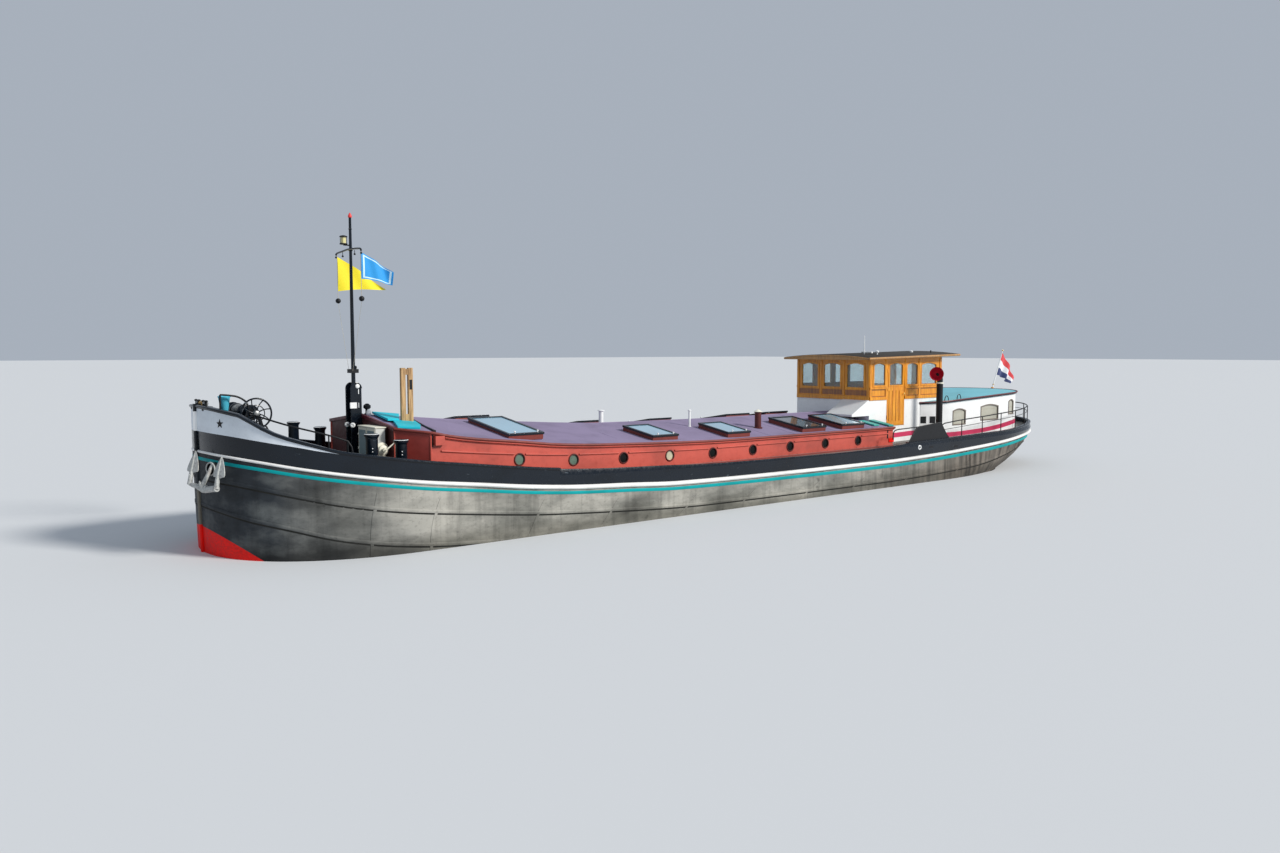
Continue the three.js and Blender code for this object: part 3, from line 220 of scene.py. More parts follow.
class Finish:
    """Material whose colour, roughness and relief come from noise in the object's own space"""

    def __init__(self, name, roughness=0.5, metallic=0.0, coat=0.0, specular=0.5):
        self.material = bpy.data.materials.new(name)
        self.material.use_nodes = True
        self.tree = self.material.node_tree
        self.shader = self.tree.nodes["Principled BSDF"]
        self.shader.inputs["Roughness"].default_value = roughness
        self.shader.inputs["Metallic"].default_value = metallic
        self.shader.inputs["Coat Weight"].default_value = coat
        self.shader.inputs["Specular IOR Level"].default_value = specular
        self.space = self.tree.nodes.new("ShaderNodeTexCoord").outputs["Object"]

    def put(self, socket, value):
        """Fills a socket with another one's output, a number, a place or a colour"""
        if isinstance(value, bpy.types.NodeSocket):
            self.tree.links.new(value, socket)
        elif socket.type == "RGBA":
            socket.default_value = (*value, 1)
        else:
            socket.default_value = value

    def add(self, kind, links=None, **values):
        node = self.tree.nodes.new(kind)
        for name, value in values.items():
            setattr(node, name, value)
        for socket, value in (links or {}).items():
            self.put(node.inputs[socket], value)
        return node

    def noise(self, scale, detail=5.0, stretch=(1, 1, 1), shift=0.0, rough=0.55):
        moved = {0: self.space, 1: (shift, shift * 1.7, shift * 0.6), 3: stretch}
        place = self.add("ShaderNodeMapping", moved).outputs[0]
        grain = {"Vector": place, "Scale": scale, "Detail": detail, "Roughness": rough}
        return self.add("ShaderNodeTexNoise", grain).outputs[0]

    def ramp(self, factor, *stops):
        node = self.add("ShaderNodeValToRGB", {0: factor})
        node.color_ramp.elements[0].position = stops[0][0]
        node.color_ramp.elements[1].position = stops[-1][0]
        for stop in stops[1:-1]:
            node.color_ramp.elements.new(stop[0])
        for element, stop in zip(node.color_ramp.elements, stops):
            colour = stop[1] if isinstance(stop[1], tuple) else (stop[1],) * 3
            element.color = (*colour, 1)
        return node.outputs[0]

    def mix(self, factor, first, second, way="MIX"):
        """Mix of two colours, whose sockets have the numbers 6 and 7 on this node"""
        links = {0: factor, 6: first, 7: second}
        return self.add("ShaderNodeMix", links, data_type="RGBA", blend_type=way).outputs[2]

    def shade(self, amount, base, factor, *stops):
        """Base multiplied by a ramp over a factor"""
        return self.mix(amount, base, self.ramp(factor, *stops), "MULTIPLY")

    def axis(self, name):
        return self.add("ShaderNodeSeparateXYZ", {0: self.space}).outputs[name]

    def combine(self, way, first, second):
        return self.add("ShaderNodeMath", {0: first, 1: second}, operation=way).outputs[0]

    def between(self, value, low, high, out_low=0.0, out_high=1.0):
        links = {0: value, 1: low, 2: high, 3: out_low, 4: out_high}
        return self.add("ShaderNodeMapRange", links).outputs[0]

    def colour(self, value):
        self.put(self.shader.inputs["Base Color"], value)
        return self

    def rough(self, factor, low, high):
        self.tree.links.new(self.between(factor, 0.3, 0.7, low, high), self.shader.inputs["Roughness"])
        return self

    def bump(self, height, strength, distance=0.01):
        before = self.shader.inputs["Normal"]
        links = {"Height": height, "Strength": strength, "Distance": distance}
        if before.is_linked:
            links["Normal"] = before.links[0].from_socket
        node = self.add("ShaderNodeBump", links)
        self.tree.links.new(node.outputs[0], before)
        return self


def shades(colour, *factors):
    return [tuple(min(1.0, c * factor) for c in colour) for factor in factors]


# Where the hull's paint changes: metres forward of amidships, and over the bottom for the wet foot
# The dark ranges at the bow and under the counter are painted shade
BOW_PAINTED_SHADE = (10.1, 12.7)
BROWN_STERN = (-1.0, -8.0)
COUNTER_PAINTED_SHADE = (-9.4, -12.4)
WET_FOOT = (1.02, 1.34)
# Red forefoot: its top edge falls from its rise at the stem to the water, and the red ends aft of the stem
FOREFOOT = {"rise": 0.53, "fall_length": 0.66, "end": 2.3}


def tar_paint():
    """Weathered tar on plates: pale, streaked amidships; painted shade at bow and counter; red forefoot"""
    made = Finish("tar_paint", roughness=0.6, specular=0.25)
    patches = made.noise(0.9, 8, (0.6, 1, 1.7))
    streaks = made.noise(2.6, 7, (2.4, 1.2, 0.22), 3.1)
    specks = made.noise(14, 6, (1, 1, 1.6), 1.4, 0.65)
    pale = made.ramp(patches, (0.3, linear(78, 78, 74)), (0.47, linear(120, 120, 114)),
                     (0.66, linear(166, 164, 156)))
    dark = made.ramp(patches, (0.32, linear(18, 22, 26)), (0.5, linear(46, 51, 56)),
                     (0.68, linear(96, 100, 100)))
    along = made.axis("X")
    wander = made.noise(0.55, 4, (1, 1, 1), 7.7)
    # Painted shade: the tar darkens towards the bow, where the bluff bow turns away from the sun
    bow_shade = made.between(made.combine("ADD", along, made.between(wander, 0, 1, -1.4, 1.4)), *BOW_PAINTED_SHADE)
    sternness = made.between(made.combine("ADD", along, made.between(wander, 0, 1, -1.2, 1.2)), *BROWN_STERN)
    brown = made.ramp(streaks, (0.36, linear(58, 52, 46)), (0.5, linear(88, 82, 75)),
                      (0.64, linear(118, 110, 101)))
    base = made.mix(made.combine("MULTIPLY", sternness, 0.9), pale, brown)
    base = made.mix(bow_shade, base, dark)
    base = made.shade(0.6, base, streaks, (0.34, 0.62), (0.5, 1.0), (0.7, 1.0))
    base = made.shade(0.55, base, specks, (0.3, 0.55), (0.46, 1.0), (0.7, 1.08))
    blots = made.noise(1.7, 3, (1, 1, 1.3), 11.3)
    base = made.shade(0.8, base, blots, (0.25, 0.3), (0.33, 1.0), (0.9, 1.0))
    # Painted shade: the plating under the counter is darkened
    counter_shade = made.between(along, *COUNTER_PAINTED_SHADE)
    base = made.mix(counter_shade, base, (0.42, 0.39, 0.36), "MULTIPLY")
    height = made.axis("Z")
    foot = made.between(made.combine("ADD", height, made.between(patches, 0, 1, -0.35, 0.35)), *WET_FOOT)
    # The wet foot darkens much more at the bow, following the painted bow shade
    wet = made.mix(foot, made.mix(bow_shade, (0.62, 0.61, 0.58), (0.16, 0.16, 0.17)), (1.0, 1.0, 1.0))
    base = made.mix(1.0, base, wet, "MULTIPLY")
    red_line = made.between(along, STEM_X - FOREFOOT["fall_length"], STEM_X, DRAFT, DRAFT + FOREFOOT["rise"])
    in_red = made.combine("MULTIPLY", made.combine("GREATER_THAN", red_line, height),
                          made.combine("GREATER_THAN", along, STEM_X - FOREFOOT["end"]))
    red = made.ramp(specks, (0.3, (0.55, 0.003, 0.002)), (0.6, (0.85, 0.008, 0.004)))
    made.colour(made.mix(in_red, base, red))
    made.rough(specks, 0.45, 0.72)
    made.bump(made.noise(1.3, 2, (1, 1, 1), 2.0), 0.5, 0.03)
    made.bump(specks, 0.25, 0.004)
    return made.material


def paint(name, colour, roughness=0.4, dirt=0.25, grain=18, coat=0.0, wave=0.15, scuffs=None, specular=0.5):
    """Brushed enamel: a slow change of tone, faint dirt, and paler or darker scuffs where given"""
    made = Finish(name, roughness, coat=coat, specular=specular)
    slow = made.noise(1.1, 5, (1, 1, 1.4))
    fine = made.noise(grain, 6, (1, 1, 1), 4.2, 0.6)
    low, mid, high = shades(colour, 1 - dirt, 1.0, 1 + dirt * 0.35)
    base = made.ramp(slow, (0.3, low), (0.5, mid), (0.72, high))
    base = made.shade(0.4, base, fine, (0.3, 1 - dirt), (0.5, 1.0), (0.7, 1.0))
    if scuffs:
        spots = made.noise(9, 8, (0.5, 0.5, 1.6), 8.8, 0.72)
        base = made.mix(made.between(spots, 0.66, 0.7), base, scuffs)
    made.colour(base)
    made.rough(fine, max(0.05, roughness - 0.1), min(1, roughness + 0.12))
    made.bump(slow, wave, 0.02)
    made.bump(fine, 0.12, 0.002)
    return made.material


def wood(name, light, dark, roughness=0.35, coat=0.4, grain=(1, 1, 14), across=26):
    """Varnished or bare timber with long grain and darker pores"""
    made = Finish(name, roughness, coat=coat)
    rings = made.noise(across, 6, tuple(1 / g for g in grain), 0.7, 0.6)
    slow = made.noise(2.2, 3, (1, 1, 1), 5.5)
    base = made.ramp(rings, (0.3, dark), (0.5, tuple((a + b) / 2 for a, b in zip(light, dark))),
                     (0.68, light))
    base = made.shade(0.45, base, slow, (0.3, 0.62), (0.6, 1.0), (0.8, 1.12))
    made.colour(base)
    made.rough(rings, roughness - 0.08, roughness + 0.15)
    made.bump(rings, 0.2, 0.0015)
    return made.material


def glass(name, tint):
    made = Finish(name, 0.03)
    made.shader.inputs["Transmission Weight"].default_value = 0.92
    made.shader.inputs["IOR"].default_value = 1.45
    ripple = made.noise(3.0, 2)
    made.colour(made.ramp(ripple, (0.3, tint), (0.7, tuple(min(1, c * 1.1) for c in tint))))
    made.bump(ripple, 0.05, 0.004)
    return made.material


def metal(name, colour, roughness=0.45, metallic=0.8, rust=0.2):
    made = Finish(name, roughness, metallic)
    fine = made.noise(22, 7, (1, 1, 1), 2.2, 0.65)
    slow = made.noise(3.4, 4)
    low, mid, high = shades(colour, 0.55, 1.0, 1.25)
    base = made.ramp(fine, (0.3, low), (0.5, mid), (0.7, high))
    base = made.mix(made.between(slow, 0.58, 0.7, 0, rust), base, (0.16, 0.06, 0.025))
    made.colour(base)
    made.rough(fine, roughness - 0.12, roughness + 0.2)
    made.bump(fine, 0.3, 0.002)
    return made.material


# Border line of a flag: its two edges, as shares from the middle
BORDER = {"from": 0.4, "to": 0.45}


def cloth(name, ground, bands=(), border=None):
    """Flag bunting: bands of (height share, colour) in the cloth's own UV, or a border line; woven finely"""
    made = Finish(name, 0.75)
    made.shader.inputs["Sheen Weight"].default_value = 0.3
    place = made.add("ShaderNodeSeparateXYZ", {0: made.add("ShaderNodeTexCoord").outputs["UV"]})
    base = ground
    for start, colour in bands:
        base = made.mix(made.combine("GREATER_THAN", place.outputs["Y"], start), base, colour)
    if border:
        middle = [made.combine("SUBTRACT", place.outputs[axis], 0.5) for axis in "XY"]
        off = [made.combine("ABSOLUTE", value, 0.0) for value in middle]
        edge = made.combine("MAXIMUM", *off)
        line = made.combine("MULTIPLY", made.combine("GREATER_THAN", edge, BORDER["from"]),
                            made.combine("LESS_THAN", edge, BORDER["to"]))
        base = made.mix(line, base, border)
    weave = made.noise(240, 2, (1, 1, 1), 1.0)
    base = made.shade(0.5, base, weave, (0.3, 0.7), (0.7, 1.0))
    made.colour(base)
    made.bump(weave, 0.3, 0.001)
    return made.material


TAR = tar_paint()
# Painted shadow: dark strip under each lap of the hull's seams
LAP_PAINTED_SHADOW = paint("lap_painted_shadow", linear(46, 46, 44), 0.8, 0.4, specular=0.1)
# The black's blue cast is a painted reflection of the sky
BLACK = paint("black_enamel_painted_sheen", linear(12, 21, 31), 0.22, 0.4, coat=0.15, wave=0.45, scuffs=(0.09, 0.11, 0.13),
              specular=0.3)
STEM_GREY = paint("stem_worn_grey", linear(112, 108, 98), 0.6, 0.3, specular=0.2)
BLACK_MATT = paint("black_iron_paint", linear(18, 20, 24), 0.5, 0.4, specular=0.3)
ROOF_FELT = paint("roof_felt", linear(66, 63, 60), 0.85, 0.25, grain=40, specular=0.2)
WHITE = paint("white_enamel", linear(236, 238, 238), 0.35, 0.12, coat=0.2)
# Brighter than the other white: painted sunlight on the stem's white band
STEM_SUNLIT_WHITE = paint("stem_white_painted_sunlight", linear(254, 254, 252), 0.5, 0.04, specular=0.2)
# Greyer and bluer than the other white: painted skylight shade on the bow's white panel
PANEL_SHADED_WHITE = paint("bow_panel_painted_shade_white", linear(214, 222, 230), 0.4, 0.15, specular=0.3)
CREAM = paint("cream_enamel", linear(226, 224, 208), 0.45, 0.2)
BAND_WHITE = paint("band_white", linear(232, 232, 230), 0.4, 0.2, scuffs=(0.12, 0.11, 0.1))
CYAN = paint("turquoise_stripe", linear(8, 152, 156), 0.5, 0.2, specular=0.12)
BITT_BLUE = paint("turquoise_bitt", linear(84, 196, 224), 0.4, 0.15)
BOARD = paint("turquoise_board", linear(34, 190, 208), 0.5, 0.2, specular=0.2)
BOARD_GREEN = paint("green_board", linear(52, 160, 150), 0.5, 0.3)
CABIN_ROOF = paint("cabin_roof_paint", linear(118, 190, 204), 0.6, 0.18)
RED = paint("brick_enamel", linear(190, 80, 66), 0.5, 0.3, grain=11, scuffs=(0.2, 0.035, 0.025))
# Darker copy of the brick red for the coaming's front wall: painted shade
RED_SHADE = paint("brick_enamel_painted_shade", linear(84, 44, 44), 0.55, 0.35, grain=11, scuffs=(0.1, 0.03, 0.025))
# Darker copy of the brick red for the coaming's angled corner board: painted half shade
RED_HALF_SHADE = paint("brick_enamel_painted_half_shade", linear(150, 54, 46), 0.5, 0.35, grain=11,
                   scuffs=(0.2, 0.035, 0.025))
RED_DARK = paint("oxide_red", linear(120, 48, 40), 0.55, 0.3)
DECK_PURPLE = paint("hold_deck_paint", linear(134, 122, 152), 0.75, 0.2, grain=30)
DECK_GREY = paint("side_deck_paint", linear(120, 122, 118), 0.8, 0.25, grain=40)
CRIMSON = paint("crimson_stripe", linear(204, 54, 96), 0.4, 0.2)
MAROON = paint("maroon_edge", linear(92, 26, 38), 0.45, 0.2)
RED_PAINT = paint("red_boot_paint", (0.85, 0.008, 0.004), 0.45, 0.2, specular=0.15)
GREY_BROWN = paint("grey_brown_frame", linear(120, 110, 102), 0.5, 0.2)
VARNISH = wood("varnished_wood", linear(244, 168, 30), linear(196, 112, 8), coat=0.25)
VARNISH_DARK = wood("varnished_mahogany", linear(172, 104, 36), linear(104, 56, 18))
FASCIA = wood("roof_fascia", linear(196, 146, 80), linear(150, 104, 50))
TIMBER = wood("weathered_timber", linear(222, 184, 132), linear(112, 76, 42), 0.75, 0.0, (1, 1, 18), 34)
PANE = glass("window_glass", (0.72, 0.82, 0.84))
BLIND = paint("cabin_window_blind", linear(176, 174, 160), 0.15, 0.2, coat=0.6, wave=0.05)
DARK_SKY_PANE = paint("dark_skylight_glass", linear(78, 82, 88), 0.12, 0.2, coat=0.6, wave=0.05)
# Opaque light blue on the skylights' glass: painted reflection of the sky
SKY_REFLECTION_PANE = paint("skylight_glass", linear(150, 196, 220), 0.12, 0.15, coat=1.0, wave=0.05)
DARK_PANE = paint("porthole_glass", linear(14, 16, 16), 0.3, 0.5, wave=0.05, specular=0.15)
GREEN_PANE = paint("porthole_green_curtain", linear(96, 118, 104), 0.3, 0.4, wave=0.05, specular=0.3)
PALE_PANE = paint("porthole_curtain", linear(196, 190, 160), 0.2, 0.3, coat=1.0, wave=0.05)
PORT_RIM = paint("porthole_rim", linear(84, 26, 22), 0.4, 0.3)
BRONZE = metal("cast_bronze", (0.5, 0.33, 0.13), 0.35, 0.9)
BRASS = metal("brass", (0.7, 0.5, 0.2), 0.3, 0.9, 0.05)
IRON = metal("painted_anchor_iron", linear(176, 178, 176), 0.55, 0.2)
STEEL = metal("worn_steel", linear(150, 152, 152), 0.4, 0.9, 0.4)
KNOB = paint("white_knob", linear(240, 240, 240), 0.3, 0.05)
RED_CAP = paint("masthead_red", linear(226, 60, 56), 0.45, 0.1)
LINING = paint("hold_lining", linear(196, 190, 176), 0.7, 0.15)
ENGINE = metal("engine_green", (0.07, 0.16, 0.1), 0.5, 0.3)
ROPE_WHITE = wood("halyard_line", linear(206, 200, 184), linear(150, 144, 128), 0.9, 0.0, (1, 1, 1), 60)
# Blue-grey for the panels on the winch box's front: painted shade
BOX_FRONT_SHADE = paint("winch_box_front_painted_shade", linear(112, 132, 138), 0.5, 0.15)
BOX_SIDE = paint("winch_box_side", linear(206, 208, 204), 0.5, 0.15)
COWL_RED = paint("cowl_inside_red", linear(184, 22, 44), 0.5, 0.2, specular=0.2)
LANTERN_GLASS = paint("lantern_glass", linear(214, 206, 150), 0.15, 0.1, coat=1.0, wave=0.05)


def put_in_scene(name, data):
    thing = bpy.data.objects.new(name, data)
    bpy.context.scene.collection.objects.link(thing)
    return thing


class Piece:
    """Mesh of one piece, gathered from simple forms; every form takes the number of its material"""

    def __init__(self, name, *materials):
        self.name = name
        self.materials = materials
        self.mesh = bmesh.new()

    def face(self, corners, look=0):
        made = self.mesh.faces.new([self.mesh.verts.new(corner) for corner in corners])
        made.material_index = look
        return made

    def grid(self, rows, look=0, around=False, along=False, capped=False):
        """Skin through rows of points; around closes each row, along joins the last row to the first"""
        made = [[self.mesh.verts.new(point) for point in row] for row in rows]
        count = len(rows[0])
        for i in range(len(rows) if along else len(rows) - 1):
            here, after = made[i], made[(i + 1) % len(rows)]
            for j in range(count if around else count - 1):
                k = (j + 1) % count
                made_face = self.mesh.faces.new((here[j], here[k], after[k], after[j]))
                made_face.material_index = look(i, j) if callable(look) else look
        if capped:
            for i, row in ((0, made[0][::-1]), (len(rows) - 1, made[-1])):
                self.mesh.faces.new(row).material_index = look(i, 0) if callable(look) else look
        return self

    def box(self, low, high, look=0, place=None):
        low, high = Vector(map(min, low, high)), Vector(map(max, low, high))
        corner = [(low.x, high.x), (low.y, high.y), (low.z, high.z)]
        rows = [[Vector((corner[0][a], corner[1][b], corner[2][c]))
                 for a, b in ((0, 0), (1, 0), (1, 1), (0, 1))] for c in (0, 1)]
        if place:
            rows = [[place(point) for point in row] for row in rows]
        return self.grid(rows, look, around=True, capped=True)

    def block(self, aft, port, up, look=0):
        """Box between places on the ship, each given as (from, to)"""
        return self.box(ship(aft[0], port[0], up[0]), ship(aft[1], port[1], up[1]), look)

    def tube(self, points, radius, sides=10, look=0, closed=False):
        """Round bar along points; radius is one value or one for each point"""
        points = [Vector(point) for point in points]
        count = len(points)
        radii = radius if hasattr(radius, "__len__") else [radius] * count
        rows = []
        normal = None
        for i, point in enumerate(points):
            before = points[(i - 1) % count] if closed or i else point
            after = points[(i + 1) % count] if closed or i + 1 < count else point
            run = (after - before).normalized()
            if normal is None:
                normal = run.orthogonal().normalized()
            normal = (normal - run * normal.dot(run)).normalized()
            other = run.cross(normal)
            rows.append([point + (normal * math.cos(a) + other * math.sin(a)) * radii[i]
                         for a in circle(sides)])
        return self.grid(rows, look, around=True, along=closed, capped=not closed)

    def turned(self, profile, foot, axis=(0, 0, 1), sides=24, look=0, hollow=False):
        """Turned form: profile is (radius, distance along the axis from the foot), closed if hollow"""
        foot, axis = Vector(foot), Vector(axis).normalized()
        side = axis.orthogonal().normalized()
        other = axis.cross(side)
        rows = [[foot + axis * along + (side * math.cos(a) + other * math.sin(a)) * max(radius, 1e-5)
                 for a in circle(sides)] for radius, along in profile]
        return self.grid(rows, look, around=True, along=hollow, capped=not hollow)

    def ball(self, centre, radius, look=0, sides=16):
        profile = [(radius * math.sin(a), -radius * math.cos(a)) for a in half_circle(sides // 2)]
        return self.turned(profile, centre, sides=sides, look=look)

    def slab(self, outline, depth, look=0):
        """Flat outline pushed along a depth"""
        depth = Vector(depth)
        rows = [[Vector(point) for point in outline], [Vector(point) + depth for point in outline]]
        return self.grid(rows, look, around=True, capped=True)

    def sweep(self, path, outs, profile, look=0):
        """Section of (out, up) corners carried along a path whose outward directions lie in plan"""
        rows = [[point + out * o + upward(u) for o, u in profile] for point, out in zip(path, outs)]
        return self.grid(rows, look, around=True, capped=True)

    def done(self, body="barge", replaces=(), slot=None, bevel=0.0, sharp=40):
        bmesh.ops.remove_doubles(self.mesh, verts=self.mesh.verts, dist=1e-5)
        bmesh.ops.recalc_face_normals(self.mesh, faces=self.mesh.faces)
        data = bpy.data.meshes.new(self.name)
        self.mesh.to_mesh(data)
        self.mesh.free()
        for look in self.materials:
            data.materials.append(look)
        data.polygons.foreach_set("use_smooth", [True] * len(data.polygons))
        data.set_sharp_from_angle(angle=math.radians(sharp))
        piece = put_in_scene(self.name, data)
        if bevel:
            rounding = piece.modifiers.new("edges", "BEVEL")
            rounding.width = bevel
            rounding.segments = 2
            rounding.limit_method = "ANGLE"
            rounding.angle_limit = math.radians(sharp)
            rounding.harden_normals = True
        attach(piece, body)
        if replaces:
            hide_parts(*([replaces] if isinstance(replaces, str) else replaces))
        return piece


def curve_through(points, steps=6):
    """Smooth path through points"""
    points = [Vector(point) for point in points]
    ends = [points[0] * 2 - points[1], *points, points[-1] * 2 - points[-2]]
    path = []
    for a, b, c, d in zip(ends, ends[1:], ends[2:], ends[3:]):
        for i in range(steps):
            s = i / steps
            path.append(0.5 * ((2 * b) + (c - a) * s + (2 * a - 5 * b + 4 * c - d) * s * s
                               + (3 * b - a - 3 * c + d) * s ** 3))
    return [*path, points[-1]]


def outward(points, closed=False):
    """Outward directions in plan of a path that runs aft along the port side"""
    count = len(points)
    outs = []
    for i in range(count):
        before = points[(i - 1) % count] if closed or i else points[i]
        after = points[(i + 1) % count] if closed or i + 1 < count else points[i]
        run = Vector((after.x - before.x, after.y - before.y, 0)).normalized()
        outs.append(Vector((run.y, -run.x, 0)))
    return outs


def mirror(points):
    return [Vector((point[0], -point[1], point[2])) for point in points]


def round_hull(places):
    """Closed path round the hull through places on its port side, from the stem aft and back"""
    port = [ship(*place) for place in places]
    return port + mirror(port[1:-1])[::-1]


def round_path(height, stations):
    return round_hull([hull_at(station, height) for station in stations])


EDGE = [hull_point(DECK_RING, station) for station in station_list(40, 110, 40)]


def breadth_on(edge, aft):
    """Breadth of an edge at a place along it, or 0 past its ends"""
    for before, after in zip(edge, edge[1:]):
        if before[0] <= aft <= after[0]:
            return before[1] + (after[1] - before[1]) * (aft - before[0]) / max(1e-9, after[0] - before[0])
    return 0


def rim_path(start, end, height, inset=0.0, step=0.12):
    """Path along the deck's edge to port and its outward directions; it runs on to starboard round an end
    of the ship that it reaches"""
    around_bow, around_stern = start <= 0, end >= EDGE[-1][0]
    chosen = [EDGE[0] if around_bow else (start, breadth_on(EDGE, start))]
    for point in EDGE:
        if start < point[0] < end and math.dist(point[:2], chosen[-1][:2]) > step:
            chosen.append(point)
    chosen.append(EDGE[-1] if around_stern else (end, breadth_on(EDGE, end)))
    path = [ship(p[0], p[1], height(p[0])) for p in chosen]
    if around_bow:
        path = mirror(path[1:])[::-1] + path
    if around_stern:
        path = path + mirror(path[:-1])[::-1]
    outs = outward(path)
    return [point - out * inset for point, out in zip(path, outs)], outs


def place_of(point):
    """Metres aft of the stem of a point"""
    return STEM_X - point.x


HALF_ROUND = [(math.sin(a), -math.cos(a)) for a in half_circle(8)]
ARCH_STEPS = 10


def arched(start, end, low, high, arch):
    """Window outline with an arched head, as (along, up)"""
    shares = [i / ARCH_STEPS for i in range(ARCH_STEPS + 1)]
    head = [(end + (start - end) * s, high - arch + arch * math.sin(math.pi * s)) for s in shares]
    return [(start, low), (end, low), *head]


def rectangle(start, end, low, high):
    return [(start, low), (end, low), (end, high), (start, high)]


def grown(outline, distance):
    """Outline moved outwards by a distance"""
    moved = []
    turn = sum(a[0] * b[1] - b[0] * a[1] for a, b in zip(outline, [*outline[1:], outline[0]]))
    for before, here, after in zip([outline[-1], *outline], outline, [*outline[1:], outline[0]]):
        first = Vector((here[0] - before[0], here[1] - before[1])).normalized()
        second = Vector((after[0] - here[0], after[1] - here[1])).normalized()
        normals = [Vector((v.y, -v.x)) * (1 if turn > 0 else -1) for v in (first, second)]
        bisector = (normals[0] + normals[1]).normalized()
        reach = distance / max(0.4, bisector.dot(normals[0]))
        moved.append((here[0] + bisector.x * reach, here[1] + bisector.y * reach))
    return moved


def moulding(piece, outline, place, width, low, high, look=0):
    """Frame round an outline, of a width, between two distances off the wall"""
    outer = grown(outline, width)
    rows = [[place(*a, low), place(*a, high), place(*b, high), place(*b, low)]
            for a, b in zip(outline, outer)]
    piece.grid(rows, look, around=True, along=True)


def panel(piece, outline, place, low, high, look=0):
    """Flat plate within an outline, between two distances off the wall"""
    piece.grid([[place(*point, level) for point in outline] for level in (low, high)], look, around=True,
               capped=True)


def side_place(side, out):
    """Places on a wall that runs along the ship: (aft, up, distance off it)"""
    return lambda aft, up, off: ship(aft, side * (out + off), up)


def cut_away(piece, cutter):
    """Takes the cutter's solid out of the piece, and keeps the result"""
    change = piece.modifiers.new("cut", "BOOLEAN")
    change.operation = "DIFFERENCE"
    change.solver = "EXACT"
    change.object = cutter
    state = bpy.context.evaluated_depsgraph_get()
    made = bpy.data.meshes.new_from_object(piece.evaluated_get(state))
    piece.modifiers.remove(change)
    old = piece.data
    piece.data = made
    bpy.data.meshes.remove(old)
    cutter_mesh = cutter.data
    bpy.data.objects.remove(cutter)
    bpy.data.meshes.remove(cutter_mesh)


def dress(look, *nodes):
    """Gives CAD parts one material"""
    for node in nodes:
        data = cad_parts[node].data
        data.materials.clear()
        data.materials.append(look)


def both(name):
    return [f"{name}_port", f"{name}_starboard"]


# Hull

# Wells of the hold, the engine room and the cabin: from, to, half breadth, and floor over the bottom
WELLS = ((3.5, 17.7, 1.9, 0.25), (18.2, 21.1, 1.25, 0.25), (21.7, 24.6, 1.35, 1.25))
STOCK_HOLE = {"aft": 25.75, "radius": 0.06, "foot": -0.4, "length": 0.8}


def make_hull():
    """Whole shell in one mesh, with the wells of the rooms and the rudder stock's hole cut out of it"""
    stations = station_list()
    heights = [lambda aft, s=s: BAND(aft) * s for s in (0.2, 0.4, 0.6, 0.8, 1.0)]
    heights += [lambda aft, s=s: BAND(aft) + (DECK(aft) - BAND(aft)) * s for s in (0.35, 0.7)]
    sides = [[hull_point(k / 3, station) for station in stations] for k in range(3 * WATER_RING + 1)]
    sides += [[hull_at(station, height) for station in stations] for height in heights]
    sides.append([hull_point(DECK_RING, station) for station in stations])
    whole = [round_hull(side) for side in sides]
    black_from = len(sides) - 4
    piece = Piece("hull_shell", TAR, BLACK, LINING, DECK_GREY)
    piece.grid(whole, lambda i, j: 1 if i >= black_from else 0, around=True)
    count = len(stations)
    for row, look in ((whole[0], 0), (whole[-1], 3)):
        piece.grid([[row[i], row[-i % len(row)]] for i in range(count)], look)
    hull = piece.done(replaces=["hull_forebody", "hull_midbody", "hull_aftbody"], slot="hull_plate",
                      sharp=50)
    cutter = Piece("hull_wells", TAR, BLACK, LINING, DECK_GREY)
    for start, end, half, floor in WELLS:
        cutter.block((start, end), (-half, half), (floor - DRAFT, 3), 2)
    cutter.turned([(STOCK_HOLE["radius"], 0), (STOCK_HOLE["radius"], STOCK_HOLE["length"])],
                  ship(STOCK_HOLE["aft"], 0, STOCK_HOLE["foot"]), look=2)
    cut_away(hull, cutter.done())
    hull.data.set_sharp_from_angle(angle=math.radians(50))


def make_plate_laps():
    """Raised laps along the seams and over the butts of the plates, with painted shadow under the seams'
    laps
    """
    piece = Piece("hull_laps", TAR, LAP_PAINTED_SHADOW)
    stations = station_list(36, 46, 30)
    section = [(-0.02, -0.062), (0.003, -0.062), (0.003, -0.036), (0.009, -0.03), (0.009, 0.03),
               (0.004, 0.036), (-0.02, 0.036)]
    for seam in SEAMS:
        port = [ship(*hull_at(station, seam)) for station in stations
                if 0.02 < hull_at(station, seam)[0] < seam.places[-1]]
        outs = outward(port)
        for path, ways in ((port, outs), (mirror(port), mirror(outs))):
            # The lowest faces of the section carry the painted shadow under the lap
            piece.sweep(path, ways, section, lambda i, j: 1 if j < 3 else 0)
    strap = ((-0.034, -0.004), (-0.03, 0.007), (0.03, 0.007), (0.034, -0.004))
    for butt in BUTTS:
        away = [abs(hull_point(DECK_RING, station)[0] - butt) for station in stations[:-1]]
        index = away.index(min(away))
        rows = []
        low, high = -0.35, BAND(butt) - 0.25
        for k in range(12):
            up = low + (high - low) * k / 11
            here, after = (ship(*hull_at(station, lambda _: up)) for station in stations[index:index + 2])
            run = Vector((after.x - here.x, after.y - here.y, 0)).normalized()
            out = Vector((run.y, -run.x, 0))
            rows.append([here + run * shift + out * lift for shift, lift in strap])
        piece.grid(rows)
        piece.grid([mirror(row) for row in rows])
    piece.done(slot="hull_plate", sharp=50)


